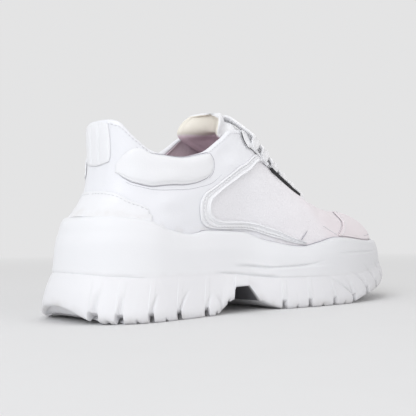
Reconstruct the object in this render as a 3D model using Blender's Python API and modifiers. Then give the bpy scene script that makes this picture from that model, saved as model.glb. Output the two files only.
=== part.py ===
"""Platform sneaker, right shoe: toe along +X, outer side along -Y, resting on z = 0."""
import bmesh
import bpy
import numpy as np

# Main sizes in metres
LENGTH = 0.290
BALL_WIDTH = 0.105
HEEL_TOP = 0.1165
PLATFORM = 0.060
WALL = 0.002
GAP = 0.0003
CUP_GAP = 0.0005
OVERLAY_GAP = 0.0005
OVERLAY = 0.0012
INSOLE_THICK = 0.004

# Sole wall: how far its top edge lies inside its bottom edge
HEEL_INSET = 0.015
TOE_INSET = 0.004
SIDE_INSET = 0.008
LIP = 0.0052
EDGE_ROUND = 0.0015

# Tread
GROOVE_WIDTH = 0.0034
GROOVE_DEPTH = 0.0030
NOTCH_DEPTH = 0.0045
NOTCH_RISE = 0.016
CUTTER = 0.030
ARCH_BACK = 0.103
ARCH_FRONT = 0.1255
ARCH_TOP = 0.0160
ARCH_FRONT_TOP = 0.0050
ARCH_ROOF = 0.013

# Tongue and laces
TONGUE_THICK = 0.006
TONGUE_EDGE = 0.0022
TONGUE_GAP = 0.0008
LACE_WIDTH = 0.0062
LACE_THICK = 0.0020
LACE_LIFT = 0.0006
STAY_LIFT = 0.0010
LACE_END = (0.0095, 0.0075, 0.0055, 0.0035, 0.0015)
LACE_STEPS = 15
LACE_WAYS = (0.540, 0.593, 0.646, 0.699, 0.752, 0.808)

# Overlays
EYESTAY_WIDTH = 0.013
EYESTAY_START = 0.495
EDGE_MARGIN = 0.0010
SEAM_GAP = 0.0010
SOLE_MARGIN = 0.022
PAD_EDGE = 0.0009
PAD_RISE = 0.0028
TAB_RISE = 0.0014
PATCH_THICK = 0.0008

# Grid counts round the shoe and up its walls
ROUND = 68
UPPER_ROWS = 12
CUP_ROWS = 4

CENTRE_X = LENGTH / 2
BALL_HALF = BALL_WIDTH / 2

# Outline of the sole's bottom edge
# columns: share of length, outer half width, inner half width (shares of half the ball width)
SOLE_PLAN = (
    (0.00, 0.83, 0.81),
    (0.14, 0.83, 0.81),
    (0.29, 0.79, 0.75),
    (0.40, 0.76, 0.69),
    (0.50, 0.86, 0.76),
    (0.62, 0.99, 0.90),
    (0.72, 1.03, 0.97),
    (0.82, 0.97, 0.96),
    (0.92, 0.90, 0.90),
    (1.00, 0.86, 0.86),
)
HEEL_CAP = 0.15
TOE_CAP = 0.235

# Width of the sole's top edge outside the upper: columns: way round one side, share of the lip
LIP_WIDTH = (
    (0.00, 0.50),
    (0.25, 0.85),
    (0.45, 1.00),
    (0.62, 0.95),
    (0.80, 0.62),
    (1.00, 0.45),
)

# Centre line of the shoe: columns: share of length, shift to the inner side (share of half the ball width)
CENTRE_LINE = (
    (0.00, 0.00),
    (0.45, 0.00),
    (0.75, 0.03),
    (1.00, 0.09),
)

# Heights of the sole in shares of the platform height
# columns: share of length, bottom, parting line, cup floor
SOLE_HEIGHTS = (
    (0.00, 0.150, 0.465, 0.660),
    (0.03, 0.020, 0.445, 0.660),
    (0.06, 0.000, 0.425, 0.655),
    (0.29, 0.000, 0.415, 0.620),
    (0.355, 0.140, 0.400, 0.580),
    (0.43, 0.100, 0.365, 0.530),
    (0.465, 0.040, 0.350, 0.500),
    (0.50, 0.000, 0.345, 0.470),
    (0.69, 0.000, 0.335, 0.440),
    (0.75, 0.065, 0.345, 0.440),
    (0.84, 0.150, 0.380, 0.455),
    (1.00, 0.330, 0.470, 0.500),
)

# Top edge of the sole in shares of the platform height: columns: share of length, height
SOLE_RIM = (
    (0.00, 0.91),
    (0.07, 0.99),
    (0.15, 0.945),
    (0.20, 0.850),
    (0.26, 0.812),
    (0.30, 0.845),
    (0.41, 0.830),
    (0.48, 0.735),
    (0.58, 0.662),
    (0.63, 0.700),
    (0.69, 0.755),
    (0.86, 0.705),
    (1.00, 0.730),
)

# Profile of the sole's side
# columns: share of the way from bottom to parting line, inset share
OUTSOLE_SIDE = (
    (0.12, 0.00),
    (0.50, 0.10),
    (0.92, 0.34),
    (1.00, 0.40),
)
# columns: share of the way from parting line to top edge, inset share
MIDSOLE_SIDE = (
    (0.00, 0.44),
    (0.05, 0.40),
    (0.25, 0.42),
    (0.55, 0.54),
    (0.80, 0.72),
    (0.94, 0.88),
    (1.00, 1.00),
)

# Opening of the upper: collar, then throat
# columns: share of the way round one side, share of length, half width, height (share of heel top)
OPENING = (
    (0.00, 0.103, 0.000, 0.995),
    (0.05, 0.106, 0.150, 0.995),
    (0.10, 0.118, 0.300, 0.980),
    (0.15, 0.142, 0.420, 0.910),
    (0.21, 0.183, 0.500, 0.838),
    (0.28, 0.240, 0.535, 0.818),
    (0.35, 0.305, 0.535, 0.850),
    (0.41, 0.362, 0.510, 0.930),
    (0.455, 0.402, 0.475, 0.990),
    (0.50, 0.440, 0.425, 0.997),
    (0.56, 0.480, 0.375, 0.940),
    (0.68, 0.552, 0.345, 0.785),
    (0.80, 0.624, 0.315, 0.660),
    (0.90, 0.680, 0.240, 0.585),
    (0.96, 0.706, 0.130, 0.562),
    (1.00, 0.713, 0.000, 0.558),
)
THROAT_SHIFT = 0.03

# Bulge of the upper between sole and opening, in metres per unit of half the ball width
# columns: share of the way round, low rise, low lean out, high reach forward, high reach out, high reach down
BULGE = (
    (0.00, 0.22, 0.04, 0.095, 0.00, 0.95),
    (0.12, 0.24, 0.05, 0.070, 0.03, 0.84),
    (0.28, 0.36, 0.08, -0.02, 0.08, 0.34),
    (0.42, 0.48, 0.10, 0.02, 0.14, 0.42),
    (0.50, 0.52, 0.10, 0.06, 0.18, 0.44),
    (0.65, 0.50, 0.12, 0.10, 0.20, 0.34),
    (0.80, 0.54, 0.14, 0.20, 0.22, 0.26),
    (0.92, 0.60, 0.20, 0.52, 0.16, 0.06),
    (1.00, 0.62, 0.24, 0.80, 0.00, 0.01),
)

# Tongue above the top eyelets: columns: share of length, height (share of heel top), half width,
# sag of the wings, thickness (share of tongue thickness)
TONGUE_TOP = (
    (0.449, 1.032, 0.360, 0.36, 1.10),
    (0.441, 1.060, 0.365, 0.40, 1.35),
    (0.436, 1.080, 0.335, 0.38, 1.45),
    (0.432, 1.094, 0.285, 0.32, 0.80),
)
TONGUE_WINGS = (0.0095, 0.0048, 0.0)
TONGUE_SHOULDER = 0.07
TONGUE_TILT = 0.04
TONGUE_ACROSS = 13
TONGUE_WAYS = (0.87, 0.82, 0.76, 0.70, 0.64, 0.58, 0.53)

# Height of the tongue's middle over the instep
# columns: way round one side, lift (share of half the ball width), fullness of the arch
TONGUE_CREST = (
    (0.50, 0.00, 1.5),
    (0.58, 0.05, 1.5),
    (0.66, 0.13, 1.5),
    (0.76, 0.16, 1.5),
    (0.82, 0.10, 1.2),
    (0.87, 0.00, 0.7),
)

# Rows of the tongue's base under the vamp: (way round, share up) from its edge to its middle
TONGUE_BASE = (
    ((0.91, 0.80), (0.92, 0.84), (0.935, 0.88), (0.955, 0.90), (0.985, 0.90)),
    ((0.89, 0.86), (0.895, 0.92), (0.91, 0.97), (0.94, 0.985), (0.98, 0.985)),
)

# Top edge of the heel counter: columns: way round one side, share up the upper
COUNTER_TOP = (
    (0.000, 0.64),
    (0.070, 0.60),
    (0.135, 0.555),
    (0.175, 0.50),
    (0.192, 0.46),
)

# Rear edge of the toe cap: columns: way round one side, share up the upper
TOE_CAP_TOP = (
    (0.662, 0.27),
    (0.735, 0.42),
    (0.820, 0.57),
    (0.900, 0.66),
    (1.000, 0.70),
)

# Frame of the side window
# columns: outer edge way, outer edge share up, inner edge way, inner edge share up
WINDOW_FRAME = (
    (0.585, 0.905, 0.580, 0.835),
    (0.500, 0.800, 0.500, 0.740),
    (0.420, 0.690, 0.415, 0.625),
    (0.352, 0.580, 0.375, 0.540),
    (0.328, 0.530, 0.361, 0.490),
    (0.327, 0.430, 0.356, 0.430),
    (0.331, 0.330, 0.356, 0.370),
    (0.335, 0.240, 0.364, 0.320),
    (0.365, 0.240, 0.385, 0.302),
    (0.425, 0.235, 0.425, 0.300),
    (0.480, 0.235, 0.480, 0.300),
    (0.540, 0.240, 0.540, 0.305),
)

# Padded panels: columns: middle way, half way, middle share up, half share up
COLLAR_PAD = (0.238, 0.138, 0.822, 0.128)
HEEL_TAB = (0.0, 0.074, 0.890, 0.100)
PAD_COLUMNS = 13
PAD_LINES = 6
PAD_SQUARE = 4.0
PAD_END = 0.97

# Dark strip beside the laces: way where it starts, way where it ends, distances from the throat's edge
SIDE_STRIP = (0.600, 0.735, 0.0145, 0.0185)

# Places of the lug grooves, shares of length
GROOVES = (0.032, 0.068, 0.126, 0.195, 0.272, 0.495, 0.566, 0.641, 0.709, 0.768, 0.824, 0.880)


def smooth(table, column, at):
    """Read a table's column at a place, smoothly between its rows."""
    xs = np.array([row[0] for row in table])
    ys = np.array([row[column] for row in table])
    steps = np.diff(xs)
    slopes = np.diff(ys) / steps
    tangents = np.zeros(len(xs))
    for i in range(1, len(xs) - 1):
        if slopes[i - 1] * slopes[i] > 0:
            tangents[i] = 2 * slopes[i - 1] * slopes[i] / (slopes[i - 1] + slopes[i])
    tangents[0] = slopes[0]
    tangents[-1] = slopes[-1]
    at = min(max(at, xs[0]), xs[-1])
    i = min(int(np.searchsorted(xs, at, side="right")) - 1, len(xs) - 2)
    h = steps[i]
    s = (at - xs[i]) / h
    a = (1 + 2 * s) * (1 - s) ** 2
    b = s * (1 - s) ** 2
    c = s * s * (3 - 2 * s)
    d = s * s * (s - 1)
    return a * ys[i] + b * h * tangents[i] + c * ys[i + 1] + d * h * tangents[i + 1]


def split(t):
    """Turn a place round the shoe into a side (-1 outer, 1 inner) and a way from heel to toe."""
    t = t % 1.0
    if t <= 0.5:
        return -1, 2 * t
    return 1, 2 * (1 - t)


def end_round(along):
    """Rounding of the outline towards heel and toe."""
    value = 1.0
    if along < HEEL_CAP:
        value = np.sqrt(max(0.0, 1 - (1 - along / HEEL_CAP) ** 2))
    if along > 1 - TOE_CAP:
        value = np.sqrt(max(0.0, 1 - ((along - 1 + TOE_CAP) / TOE_CAP) ** 2.3))
    return value


def outline(t, inset, extra=0.0):
    """Plan point of the shoe's outline, drawn in by a share of the insets and by an extra amount."""
    side, way = split(t)
    along = (1 - np.cos(np.pi * way)) / 2
    back = HEEL_INSET * inset + extra
    front = LENGTH - TOE_INSET * inset - extra
    x = back + (front - back) * along
    column = 1 if side < 0 else 2
    half = BALL_HALF * smooth(SOLE_PLAN, column, along) - SIDE_INSET * inset - extra
    y = BALL_HALF * smooth(CENTRE_LINE, 1, along) + side * half * end_round(along)
    return x, y


def sole_height(x, column):
    return PLATFORM * smooth(SOLE_HEIGHTS, column, x / LENGTH)


def rim_height(x):
    return PLATFORM * smooth(SOLE_RIM, 1, x / LENGTH)


def upper_point(t, v):
    """Point of the upper's outer face: v is 0 at its lower edge and 1 at collar or throat."""
    side, way = split(t)
    fx, fy = outline(t, 1.0, LIP * smooth(LIP_WIDTH, 1, way))
    foot = np.array([fx, fy, sole_height(fx, 3) + GAP])
    ox = LENGTH * smooth(OPENING, 1, way)
    shift = THROAT_SHIFT * ox / LENGTH
    oy = BALL_HALF * (shift + side * smooth(OPENING, 2, way))
    edge = np.array([ox, oy, HEEL_TOP * smooth(OPENING, 3, way)])
    toward = np.array([np.cos(np.pi * (1 - way)), side * np.sin(np.pi * way), 0.0])
    low = foot + BALL_HALF * (smooth(BULGE, 2, way) * toward + np.array([0, 0, smooth(BULGE, 1, way)]))
    reach = np.array([smooth(BULGE, 3, way), side * smooth(BULGE, 4, way), -smooth(BULGE, 5, way)])
    high = edge + BALL_HALF * reach
    w = 1 - v
    return w ** 3 * foot + 3 * w * w * v * low + 3 * w * v * v * high + v ** 3 * edge


def upper_normal(t, v):
    step = 0.002
    a = upper_point(t + step, v) - upper_point(t - step, v)
    hi = min(v + step, 1.0)
    lo = max(v - step, 0.0)
    b = upper_point(t, hi) - upper_point(t, lo)
    n = np.cross(a, b)
    return n / np.linalg.norm(n)


def upper_at(t, v, offset):
    return upper_point(t, v) + offset * upper_normal(t, v)


def rim_share(t):
    """How far up the upper the sole's top edge reaches."""
    lo, hi = 0.0, 0.7
    for _ in range(30):
        mid = (lo + hi) / 2
        p = upper_point(t, mid)
        if p[2] < rim_height(p[0]):
            lo = mid
        else:
            hi = mid
    return lo


def edge_share(t, distance):
    """How far up the upper a line lies that keeps a distance from its opening."""
    edge = upper_point(t, 1.0)
    lo, hi = 0.3, 1.0
    for _ in range(24):
        mid = (lo + hi) / 2
        if np.linalg.norm(upper_point(t, mid) - edge) > distance:
            lo = mid
        else:
            hi = mid
    return (lo + hi) / 2


def material(name, colour, roughness):
    mat = bpy.data.materials.new(name)
    mat.use_nodes = True
    shader = mat.node_tree.nodes["Principled BSDF"]
    shader.inputs["Base Color"].default_value = (*colour, 1.0)
    shader.inputs["Roughness"].default_value = roughness
    return mat


def place(name, verts, faces, mat, collection):
    """Put a mesh in the scene, with the shoe's middle over the origin."""
    mesh = bpy.data.meshes.new(name)
    mesh.from_pydata([tuple(float(c) for c in v) for v in verts], [], faces)
    mesh.validate()
    obj = bpy.data.objects.new(name, mesh)
    mesh.materials.append(mat)
    collection.objects.link(obj)
    obj.location = (-CENTRE_X, 0, 0)
    for face in mesh.polygons:
        face.use_smooth = True
    return obj


def outward(obj):
    """Turn all faces of a closed body outward."""
    bm = bmesh.new()
    bm.from_mesh(obj.data)
    bmesh.ops.recalc_face_normals(bm, faces=bm.faces)
    bm.to_mesh(obj.data)
    bm.free()


def ladder(first, count):
    """Faces that close a ring by joining its outer side to its inner side."""
    half = count // 2
    faces = [(first, first + 1, first + count - 1)]
    for i in range(1, half - 1):
        faces.append((first + i, first + i + 1, first + count - i - 1, first + count - i))
    faces.append((first + half - 1, first + half, first + half + 1))
    return faces


def ring_body(name, rings, mat, collection):
    """Closed body lofted through rings, with its first and last ring closed across."""
    count = len(rings[0])
    verts = [p for ring in rings for p in ring]
    faces = []
    for j in range(len(rings) - 1):
        for i in range(count):
            k = (i + 1) % count
            faces.append((j * count + i, j * count + k, (j + 1) * count + k, (j + 1) * count + i))
    faces += ladder(0, count)
    faces += ladder((len(rings) - 1) * count, count)
    obj = place(name, verts, faces, mat, collection)
    outward(obj)
    return obj


def sheet(name, rows, mat, collection, thick, closed=False):
    """Sheet lofted through rows of points and thickened outward, or inward for a negative thickness."""
    count = len(rows[0])
    verts = [p for row in rows for p in row]
    faces = []
    for j in range(len(rows) - 1):
        for i in range(count if closed else count - 1):
            k = (i + 1) % count
            faces.append((j * count + i, j * count + k, (j + 1) * count + k, (j + 1) * count + i))
    obj = place(name, verts, faces, mat, collection)
    solid = obj.modifiers.new("wall", "SOLIDIFY")
    solid.thickness = abs(thick)
    solid.offset = 1.0 if thick > 0 else -1.0
    solid.use_even_offset = True
    return obj


def two_faced(name, outer, inner, mat, collection):
    """Closed body between two grids of points that share their rim."""
    rows, across = len(outer), len(outer[0])
    verts = [p for row in outer for p in row] + [p for row in inner for p in row]
    shift = rows * across
    faces = []
    for j in range(rows - 1):
        for k in range(across - 1):
            a = j * across + k
            quad = (a, a + 1, a + 1 + across, a + across)
            faces.append(quad)
            faces.append(tuple(shift + q for q in reversed(quad)))
    rim = list(range(across))
    rim += [j * across + across - 1 for j in range(1, rows)]
    rim += [(rows - 1) * across + k for k in range(across - 2, -1, -1)]
    rim += [j * across for j in range(rows - 2, 0, -1)]
    for a, b in zip(rim, rim[1:] + rim[:1]):
        faces.append((b, a, shift + a, shift + b))
    obj = place(name, verts, faces, mat, collection)
    outward(obj)
    return obj


def sole_ring(heights, inset):
    """Ring of the sole's wall: heights gives the height at each place along the shoe."""
    ring = []
    for i in range(ROUND):
        x, y = outline(i / ROUND, inset)
        ring.append((x, y, heights(x)))
    return ring


def outsole_body(mat, collection):
    def level(share):
        def height(x):
            low = sole_height(x, 1)
            return low + share * (sole_height(x, 2) - GAP / 2 - low)
        return height

    rings = [sole_ring(level(0.0), EDGE_ROUND / SIDE_INSET)]
    for share, inset in OUTSOLE_SIDE:
        rings.append(sole_ring(level(share), inset))
    return ring_body("outsole", rings, mat, collection)


def midsole_body(mat, collection):
    def level(share):
        def height(x):
            low = sole_height(x, 2) + GAP / 2
            return low + share * (rim_height(x) - low)
        return height

    rings = [sole_ring(level(share), inset) for share, inset in MIDSOLE_SIDE]
    cup = [[] for _ in range(CUP_ROWS + 1)]
    for i in range(ROUND):
        t = i / ROUND
        top = rim_share(t)
        for k, ring in enumerate(cup):
            ring.append(upper_at(t, top * (1 - k / CUP_ROWS), CUP_GAP))
    for point in cup[-1]:
        point[2] -= GAP
    return ring_body("midsole", rings + cup, mat, collection)


def insole_body(mat, collection):
    rings = []
    for rise, inset in ((GAP, 0.0), (INSOLE_THICK * 0.8, 0.0), (INSOLE_THICK, 0.0008)):
        ring = []
        for i in range(ROUND):
            x, y, z = upper_at(i / ROUND, 0.0, -WALL - 2 * GAP - inset)
            ring.append((x, y, sole_height(x, 3) + GAP + rise))
        rings.append(ring)
    return ring_body("insole", rings, mat, collection)


def upper_body(mat, collection):
    rows = []
    for j in range(UPPER_ROWS + 1):
        rows.append([upper_point(i / ROUND, j / UPPER_ROWS) for i in range(ROUND)])
    return sheet("upper", rows, mat, collection, -WALL, closed=True)


def hermite(a, b, ta, tb, s):
    """Point between a and b on a smooth curve that leaves along ta and arrives along -tb."""
    h0 = (1 + 2 * s) * (1 - s) ** 2
    h1 = s * (1 - s) ** 2
    h2 = s * s * (3 - 2 * s)
    h3 = s * s * (s - 1)
    return h0 * a + h1 * ta + h2 * b - h3 * tb


def throat_section(way, depth):
    """Line across the throat: under both eyestays at a depth, and arched between them."""
    left, right = [], []
    for distance in TONGUE_WINGS:
        left.append(upper_at(way / 2, edge_share(way / 2, distance), -depth))
        right.append(upper_at(1 - way / 2, edge_share(1 - way / 2, distance), -depth))
    a, b = left[-1], right[-1]
    reach = smooth(TONGUE_CREST, 2, way) * np.linalg.norm(b - a)
    ta = reach * (a - left[-2]) / np.linalg.norm(a - left[-2])
    tb = reach * (b - right[-2]) / np.linalg.norm(b - right[-2])
    step = 0.01
    slope = upper_point((way + step) / 2, 1.0) - upper_point((way - step) / 2, 1.0)
    up = np.cross(slope, b - a)
    up = up / np.linalg.norm(up)
    lift = BALL_HALF * smooth(TONGUE_CREST, 1, way)
    middle = []
    for s in np.linspace(0.1, 0.9, 9):
        middle.append(hermite(a, b, ta, tb, s) + up * lift * (1 - abs(2 * s - 1) ** 3))
    return left + middle + right[::-1]


def respace(points, count):
    """Spread points evenly along a line."""
    points = np.array(points)
    run = np.concatenate([[0.0], np.cumsum(np.linalg.norm(np.diff(points, axis=0), axis=1))])
    spots = np.linspace(0, run[-1], count)
    return np.stack([np.interp(spots, run, points[:, k]) for k in range(3)], axis=1)


def tongue_grid():
    """Sections of the tongue from its base to its top, each with its thickness share."""
    depth = WALL + TONGUE_GAP + TONGUE_EDGE / 2
    sections = []
    for places in TONGUE_BASE:
        row = [upper_at(way / 2, v, -depth) for way, v in places]
        row += [upper_at(1 - way / 2, v, -depth) for way, v in reversed(places)]
        sections.append((respace(row, TONGUE_ACROSS), 1.0))
    for way in TONGUE_WAYS:
        sections.append((respace(throat_section(way, depth), TONGUE_ACROSS), 1.0))
    for share, high, half, sag, thick in TONGUE_TOP:
        row = []
        for q in np.linspace(-1, 1, TONGUE_ACROSS):
            x = LENGTH * share - BALL_HALF * sag * q * q
            y = BALL_HALF * (half * q + THROAT_SHIFT * share)
            z = HEEL_TOP * high + BALL_HALF * (TONGUE_TILT * q - TONGUE_SHOULDER * q * q)
            row.append((x, y, z))
        sections.append((respace(row, TONGUE_ACROSS), thick))
    return sections


def tongue_body(mat, collection):
    """Padded tongue: its wings follow the upper's inner face, its middle arches over the instep."""
    sections = tongue_grid()
    grid = np.array([row for row, _ in sections])
    rows, across = len(sections), TONGUE_ACROSS
    outer, inner = [], []
    for j in range(rows):
        full = TONGUE_THICK * sections[j][1]
        outer.append([])
        inner.append([])
        for k in range(across):
            ja, jb = max(j - 1, 0), min(j + 1, rows - 1)
            ka, kb = max(k - 1, 0), min(k + 1, across - 1)
            n = np.cross(grid[j, kb] - grid[j, ka], grid[jb, k] - grid[ja, k])
            n = n / np.linalg.norm(n)
            q = 2 * k / (across - 1) - 1
            body = TONGUE_EDGE + (full - TONGUE_EDGE) * (1 - q ** 4)
            outer[-1].append(grid[j, k] + n * TONGUE_EDGE / 2)
            inner[-1].append(grid[j, k] + n * (TONGUE_EDGE / 2 - body))
    return two_faced("tongue", outer, inner, mat, collection)


def overlay(name, lines, thick, mat, collection):
    """Overlay on the upper, lofted through lines of (place round the shoe, share up)."""
    rows = []
    for line in lines:
        rows.append([upper_at(t, max(v, rim_share(t) + SOLE_MARGIN), OVERLAY_GAP) for t, v in line])
    a = rows[0][1] - rows[0][0]
    b = rows[1][0] - rows[0][0]
    if np.dot(np.cross(a, b), upper_normal(*lines[0][0])) < 0:
        rows.reverse()
    return sheet(name, rows, mat, collection, thick)


def between(bottom, top, count):
    """Lines between a bottom line and a top line."""
    lines = []
    for k in range(count + 1):
        s = k / count
        lines.append([(t, v + s * (w - v)) for (t, v), (_, w) in zip(bottom, top)])
    return lines


def counter_body(mat, collection):
    reach = COUNTER_TOP[-1][0] / 2
    places = np.linspace(-reach, reach, 17)
    bottom = [(t, rim_share(t) + SOLE_MARGIN) for t in places]
    top = [(t, smooth(COUNTER_TOP, 1, 2 * abs(t))) for t in places]
    return overlay("heel_counter", between(bottom, top, 4), OVERLAY, mat, collection)


def toe_cap_body(mat, collection):
    reach = (1 - TOE_CAP_TOP[0][0]) / 2
    places = np.linspace(0.5 - reach, 0.5 + reach, 23)
    bottom = [(t, rim_share(t) + SOLE_MARGIN) for t in places]
    top = [(t, smooth(TOE_CAP_TOP, 1, 1 - 2 * abs(t - 0.5))) for t in places]
    return overlay("toe_cap", between(bottom, top, 5), OVERLAY, mat, collection)


def eyestay_body(mat, collection):
    places = np.linspace(EYESTAY_START / 2, 1 - EYESTAY_START / 2, 33)
    lines = []
    for distance in np.linspace(EYESTAY_WIDTH, EDGE_MARGIN, 3):
        lines.append([(t, edge_share(t, distance)) for t in places])
    return overlay("eyestay", lines, OVERLAY, mat, collection)


def strip_body(mat, collection):
    start, end, near, far = SIDE_STRIP
    places = np.linspace(start / 2, end / 2, 7)
    lines = [[(t, edge_share(t, distance)) for t in places] for distance in (far, near)]
    return overlay("side_strip", lines, PATCH_THICK, mat, collection)


def window_frame_body(name, side, mat, collection):
    def turn(way):
        return way / 2 if side < 0 else 1 - way / 2

    table = []
    for row, after in zip(WINDOW_FRAME, WINDOW_FRAME[1:]):
        table += [row, tuple((a + b) / 2 for a, b in zip(row, after))]
    table.append(WINDOW_FRAME[-1])
    lines = []
    for s in (0.0, 0.5, 1.0):
        lines.append([])
        for a, b, c, d in table:
            t = turn(a + s * (c - a))
            lines[-1].append((t, min(b + s * (d - b), edge_share(t, EYESTAY_WIDTH + (1 + s) * SEAM_GAP))))
    return overlay(name, lines, OVERLAY, mat, collection)


def pad_body(name, shape, turn, rise, mat, collection):
    """Padded panel on the upper, thickest at its middle and rounded at its ends."""
    middle, half, up, half_up = shape
    outer, inner = [], []
    for b in np.linspace(-1, 1, PAD_LINES):
        outer.append([])
        inner.append([])
        for a in PAD_END * np.sin(np.pi / 2 * np.linspace(-1, 1, PAD_COLUMNS)):
            reach = (1 - abs(a) ** PAD_SQUARE) ** (1 / PAD_SQUARE)
            t = turn(middle + half * a)
            v = min(up + half_up * b * reach, 1.0)
            swell = (1 - a ** PAD_SQUARE) * (1 - b ** PAD_SQUARE)
            inner[-1].append(upper_at(t, v, OVERLAY_GAP))
            outer[-1].append(upper_at(t, v, OVERLAY_GAP + PAD_EDGE + rise * swell))
    return two_faced(name, outer, inner, mat, collection)


def lace_path(way):
    """Line of a lace bar from the outer eyestay over the tongue to the inner eyestay."""
    on_stay = OVERLAY_GAP + OVERLAY + STAY_LIFT + LACE_THICK / 2
    ends = []
    for t in (way / 2, 1 - way / 2):
        ends.append([upper_at(t, edge_share(t, d), on_stay) for d in LACE_END])
    over = np.array(throat_section(way, WALL + TONGUE_GAP + TONGUE_EDGE / 2)[4:-4])
    ahead = upper_point((way + 0.01) / 2, 1.0) - upper_point((way - 0.01) / 2, 1.0)
    points = list(ends[0])
    for k in range(len(over)):
        n = np.cross(ahead, over[min(k + 1, len(over) - 1)] - over[max(k - 1, 0)])
        n = n / np.linalg.norm(n)
        points.append(over[k] + n * (TONGUE_EDGE / 2 + LACE_LIFT + LACE_THICK / 2))
    points += ends[1][::-1]
    return respace(points, LACE_STEPS)


def lace_body(name, way, mat, collection):
    """Flat lace bar from eyestay to eyestay over the tongue."""
    line = lace_path(way)
    along = lace_path(way - 0.02) - lace_path(way + 0.02)
    rings = []
    for k, point in enumerate(line):
        tangent = line[min(k + 1, len(line) - 1)] - line[max(k - 1, 0)]
        tangent = tangent / np.linalg.norm(tangent)
        width = along[k] - tangent * np.dot(along[k], tangent)
        width = width / np.linalg.norm(width)
        n = np.cross(tangent, width)
        ring = []
        for a, b in ((-1, 0), (-0.8, 1), (0.8, 1), (1, 0), (0.8, -1), (-0.8, -1)):
            ring.append(point + width * a * LACE_WIDTH / 2 + n * b * LACE_THICK / 2)
        rings.append(ring)
    return ring_body(name, rings, mat, collection)


def cutter(name, verts, faces, collection):
    obj = place(name, verts, faces, bpy.data.materials["cutter"], collection)
    outward(obj)
    obj.hide_render = True
    obj.display_type = "WIRE"
    return obj


def box_at(middle, axes, half):
    """Corners and faces of a box with given axes and half sizes."""
    verts = []
    for a in (-1, 1):
        for b in (-1, 1):
            for c in (-1, 1):
                verts.append(middle + a * half[0] * axes[0] + b * half[1] * axes[1] + c * half[2] * axes[2])
    faces = [(0, 1, 3, 2), (4, 6, 7, 5), (0, 4, 5, 1), (2, 3, 7, 6), (0, 2, 6, 4), (1, 5, 7, 3)]
    return verts, faces


def join_boxes(boxes):
    verts, faces = [], []
    for v, f in boxes:
        faces += [tuple(len(verts) + k for k in face) for face in f]
        verts += v
    return verts, faces


def place_at(x, side):
    """Place round the shoe where the sole's bottom edge has a given length coordinate."""
    way = np.arccos(1 - 2 * x / LENGTH) / np.pi
    return way / 2 if side < 0 else 1 - way / 2


def cut_tread(outsole, collection):
    """Cut the lug grooves, their notches up the side and the arch out of the outsole."""
    across, notches = [], []
    for share in GROOVES:
        x = share * LENGTH
        low = sole_height(x, 1)
        axes = np.eye(3)
        middle = np.array([x, 0.0, low + GROOVE_DEPTH - CUTTER / 2])
        across.append(box_at(middle, axes, (GROOVE_WIDTH / 2, BALL_WIDTH, CUTTER / 2)))
        for side in (-1, 1):
            t = place_at(x, side)
            here = np.array(outline(t, 0.0))
            tangent = np.array(outline(t + 0.005, 0.0)) - np.array(outline(t - 0.005, 0.0))
            tangent = np.append(tangent / np.linalg.norm(tangent), 0.0)
            out = np.array([tangent[1], -tangent[0], 0.0])
            rise = np.array([0.0, 0.0, NOTCH_RISE]) + out * NOTCH_DEPTH
            rise = rise / np.linalg.norm(rise)
            face = np.cross(rise, tangent)
            if np.dot(face, out) < 0:
                face = -face
            root = np.array([here[0], here[1], low]) - out * NOTCH_DEPTH
            middle = root + face * CUTTER / 2 + rise * NOTCH_RISE / 2
            notches.append(box_at(middle, (tangent, face, rise), (GROOVE_WIDTH / 2, CUTTER / 2, CUTTER / 2)))
    profile = (
        (ARCH_BACK - 0.001, -CUTTER),
        (ARCH_BACK, ARCH_TOP),
        (ARCH_BACK + ARCH_ROOF, ARCH_TOP),
        (ARCH_FRONT, ARCH_FRONT_TOP),
        (ARCH_FRONT + 0.001, -CUTTER),
    )
    count = len(profile)
    verts = [(x, y, z) for y in (-BALL_WIDTH, BALL_WIDTH) for x, z in profile]
    faces = [tuple(range(count)), tuple(range(2 * count - 1, count - 1, -1))]
    faces += [(k, (k + 1) % count, count + (k + 1) % count, count + k) for k in range(count)]
    tools = (
        cutter("groove_cutter", *join_boxes(across), collection),
        cutter("notch_cutter", *join_boxes(notches), collection),
        cutter("arch_cutter", verts, faces, collection),
    )
    for tool in tools:
        cut = outsole.modifiers.new(tool.name, "BOOLEAN")
        cut.operation = "DIFFERENCE"
        cut.solver = "EXACT"
        cut.object = tool


def main():
    for obj in list(bpy.data.objects):
        bpy.data.objects.remove(obj)
    shoe = bpy.data.collections.new("platform_sneaker")
    tools = bpy.data.collections.new("cutters")
    bpy.context.scene.collection.children.link(shoe)
    bpy.context.scene.collection.children.link(tools)
    material("cutter", (0.5, 0.5, 0.5), 0.5)
    leather = material("white leather", (0.82, 0.82, 0.83), 0.45)
    trim = material("white trim", (0.84, 0.84, 0.85), 0.40)
    foam = material("white foam", (0.84, 0.84, 0.85), 0.6)
    rubber = material("white rubber", (0.80, 0.80, 0.81), 0.55)
    cloth = material("rose lining", (0.62, 0.50, 0.52), 0.9)
    padding = material("white padding", (0.80, 0.79, 0.77), 0.8)
    cord = material("white lace", (0.84, 0.84, 0.84), 0.85)
    dark = material("dark trim", (0.02, 0.02, 0.02), 0.5)

    outsole = outsole_body(rubber, shoe)
    cut_tread(outsole, tools)
    midsole_body(foam, shoe)
    insole_body(cloth, shoe)
    upper_body(leather, shoe)
    tongue_body(padding, shoe)
    counter_body(trim, shoe)
    toe_cap_body(trim, shoe)
    eyestay_body(trim, shoe)
    strip_body(dark, shoe)
    for name, side in (("outer", -1), ("inner", 1)):
        def turn(way):
            return way / 2 if side < 0 else 1 - way / 2

        window_frame_body("window_frame_" + name, side, trim, shoe)
        pad_body("collar_pad_" + name, COLLAR_PAD, turn, PAD_RISE, trim, shoe)
    pad_body("heel_tab", HEEL_TAB, lambda way: way / 2, TAB_RISE, trim, shoe)
    for k, way in enumerate(LACE_WAYS):
        lace_body(f"lace_bar_{k + 1}", way, cord, shoe)


main()
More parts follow.
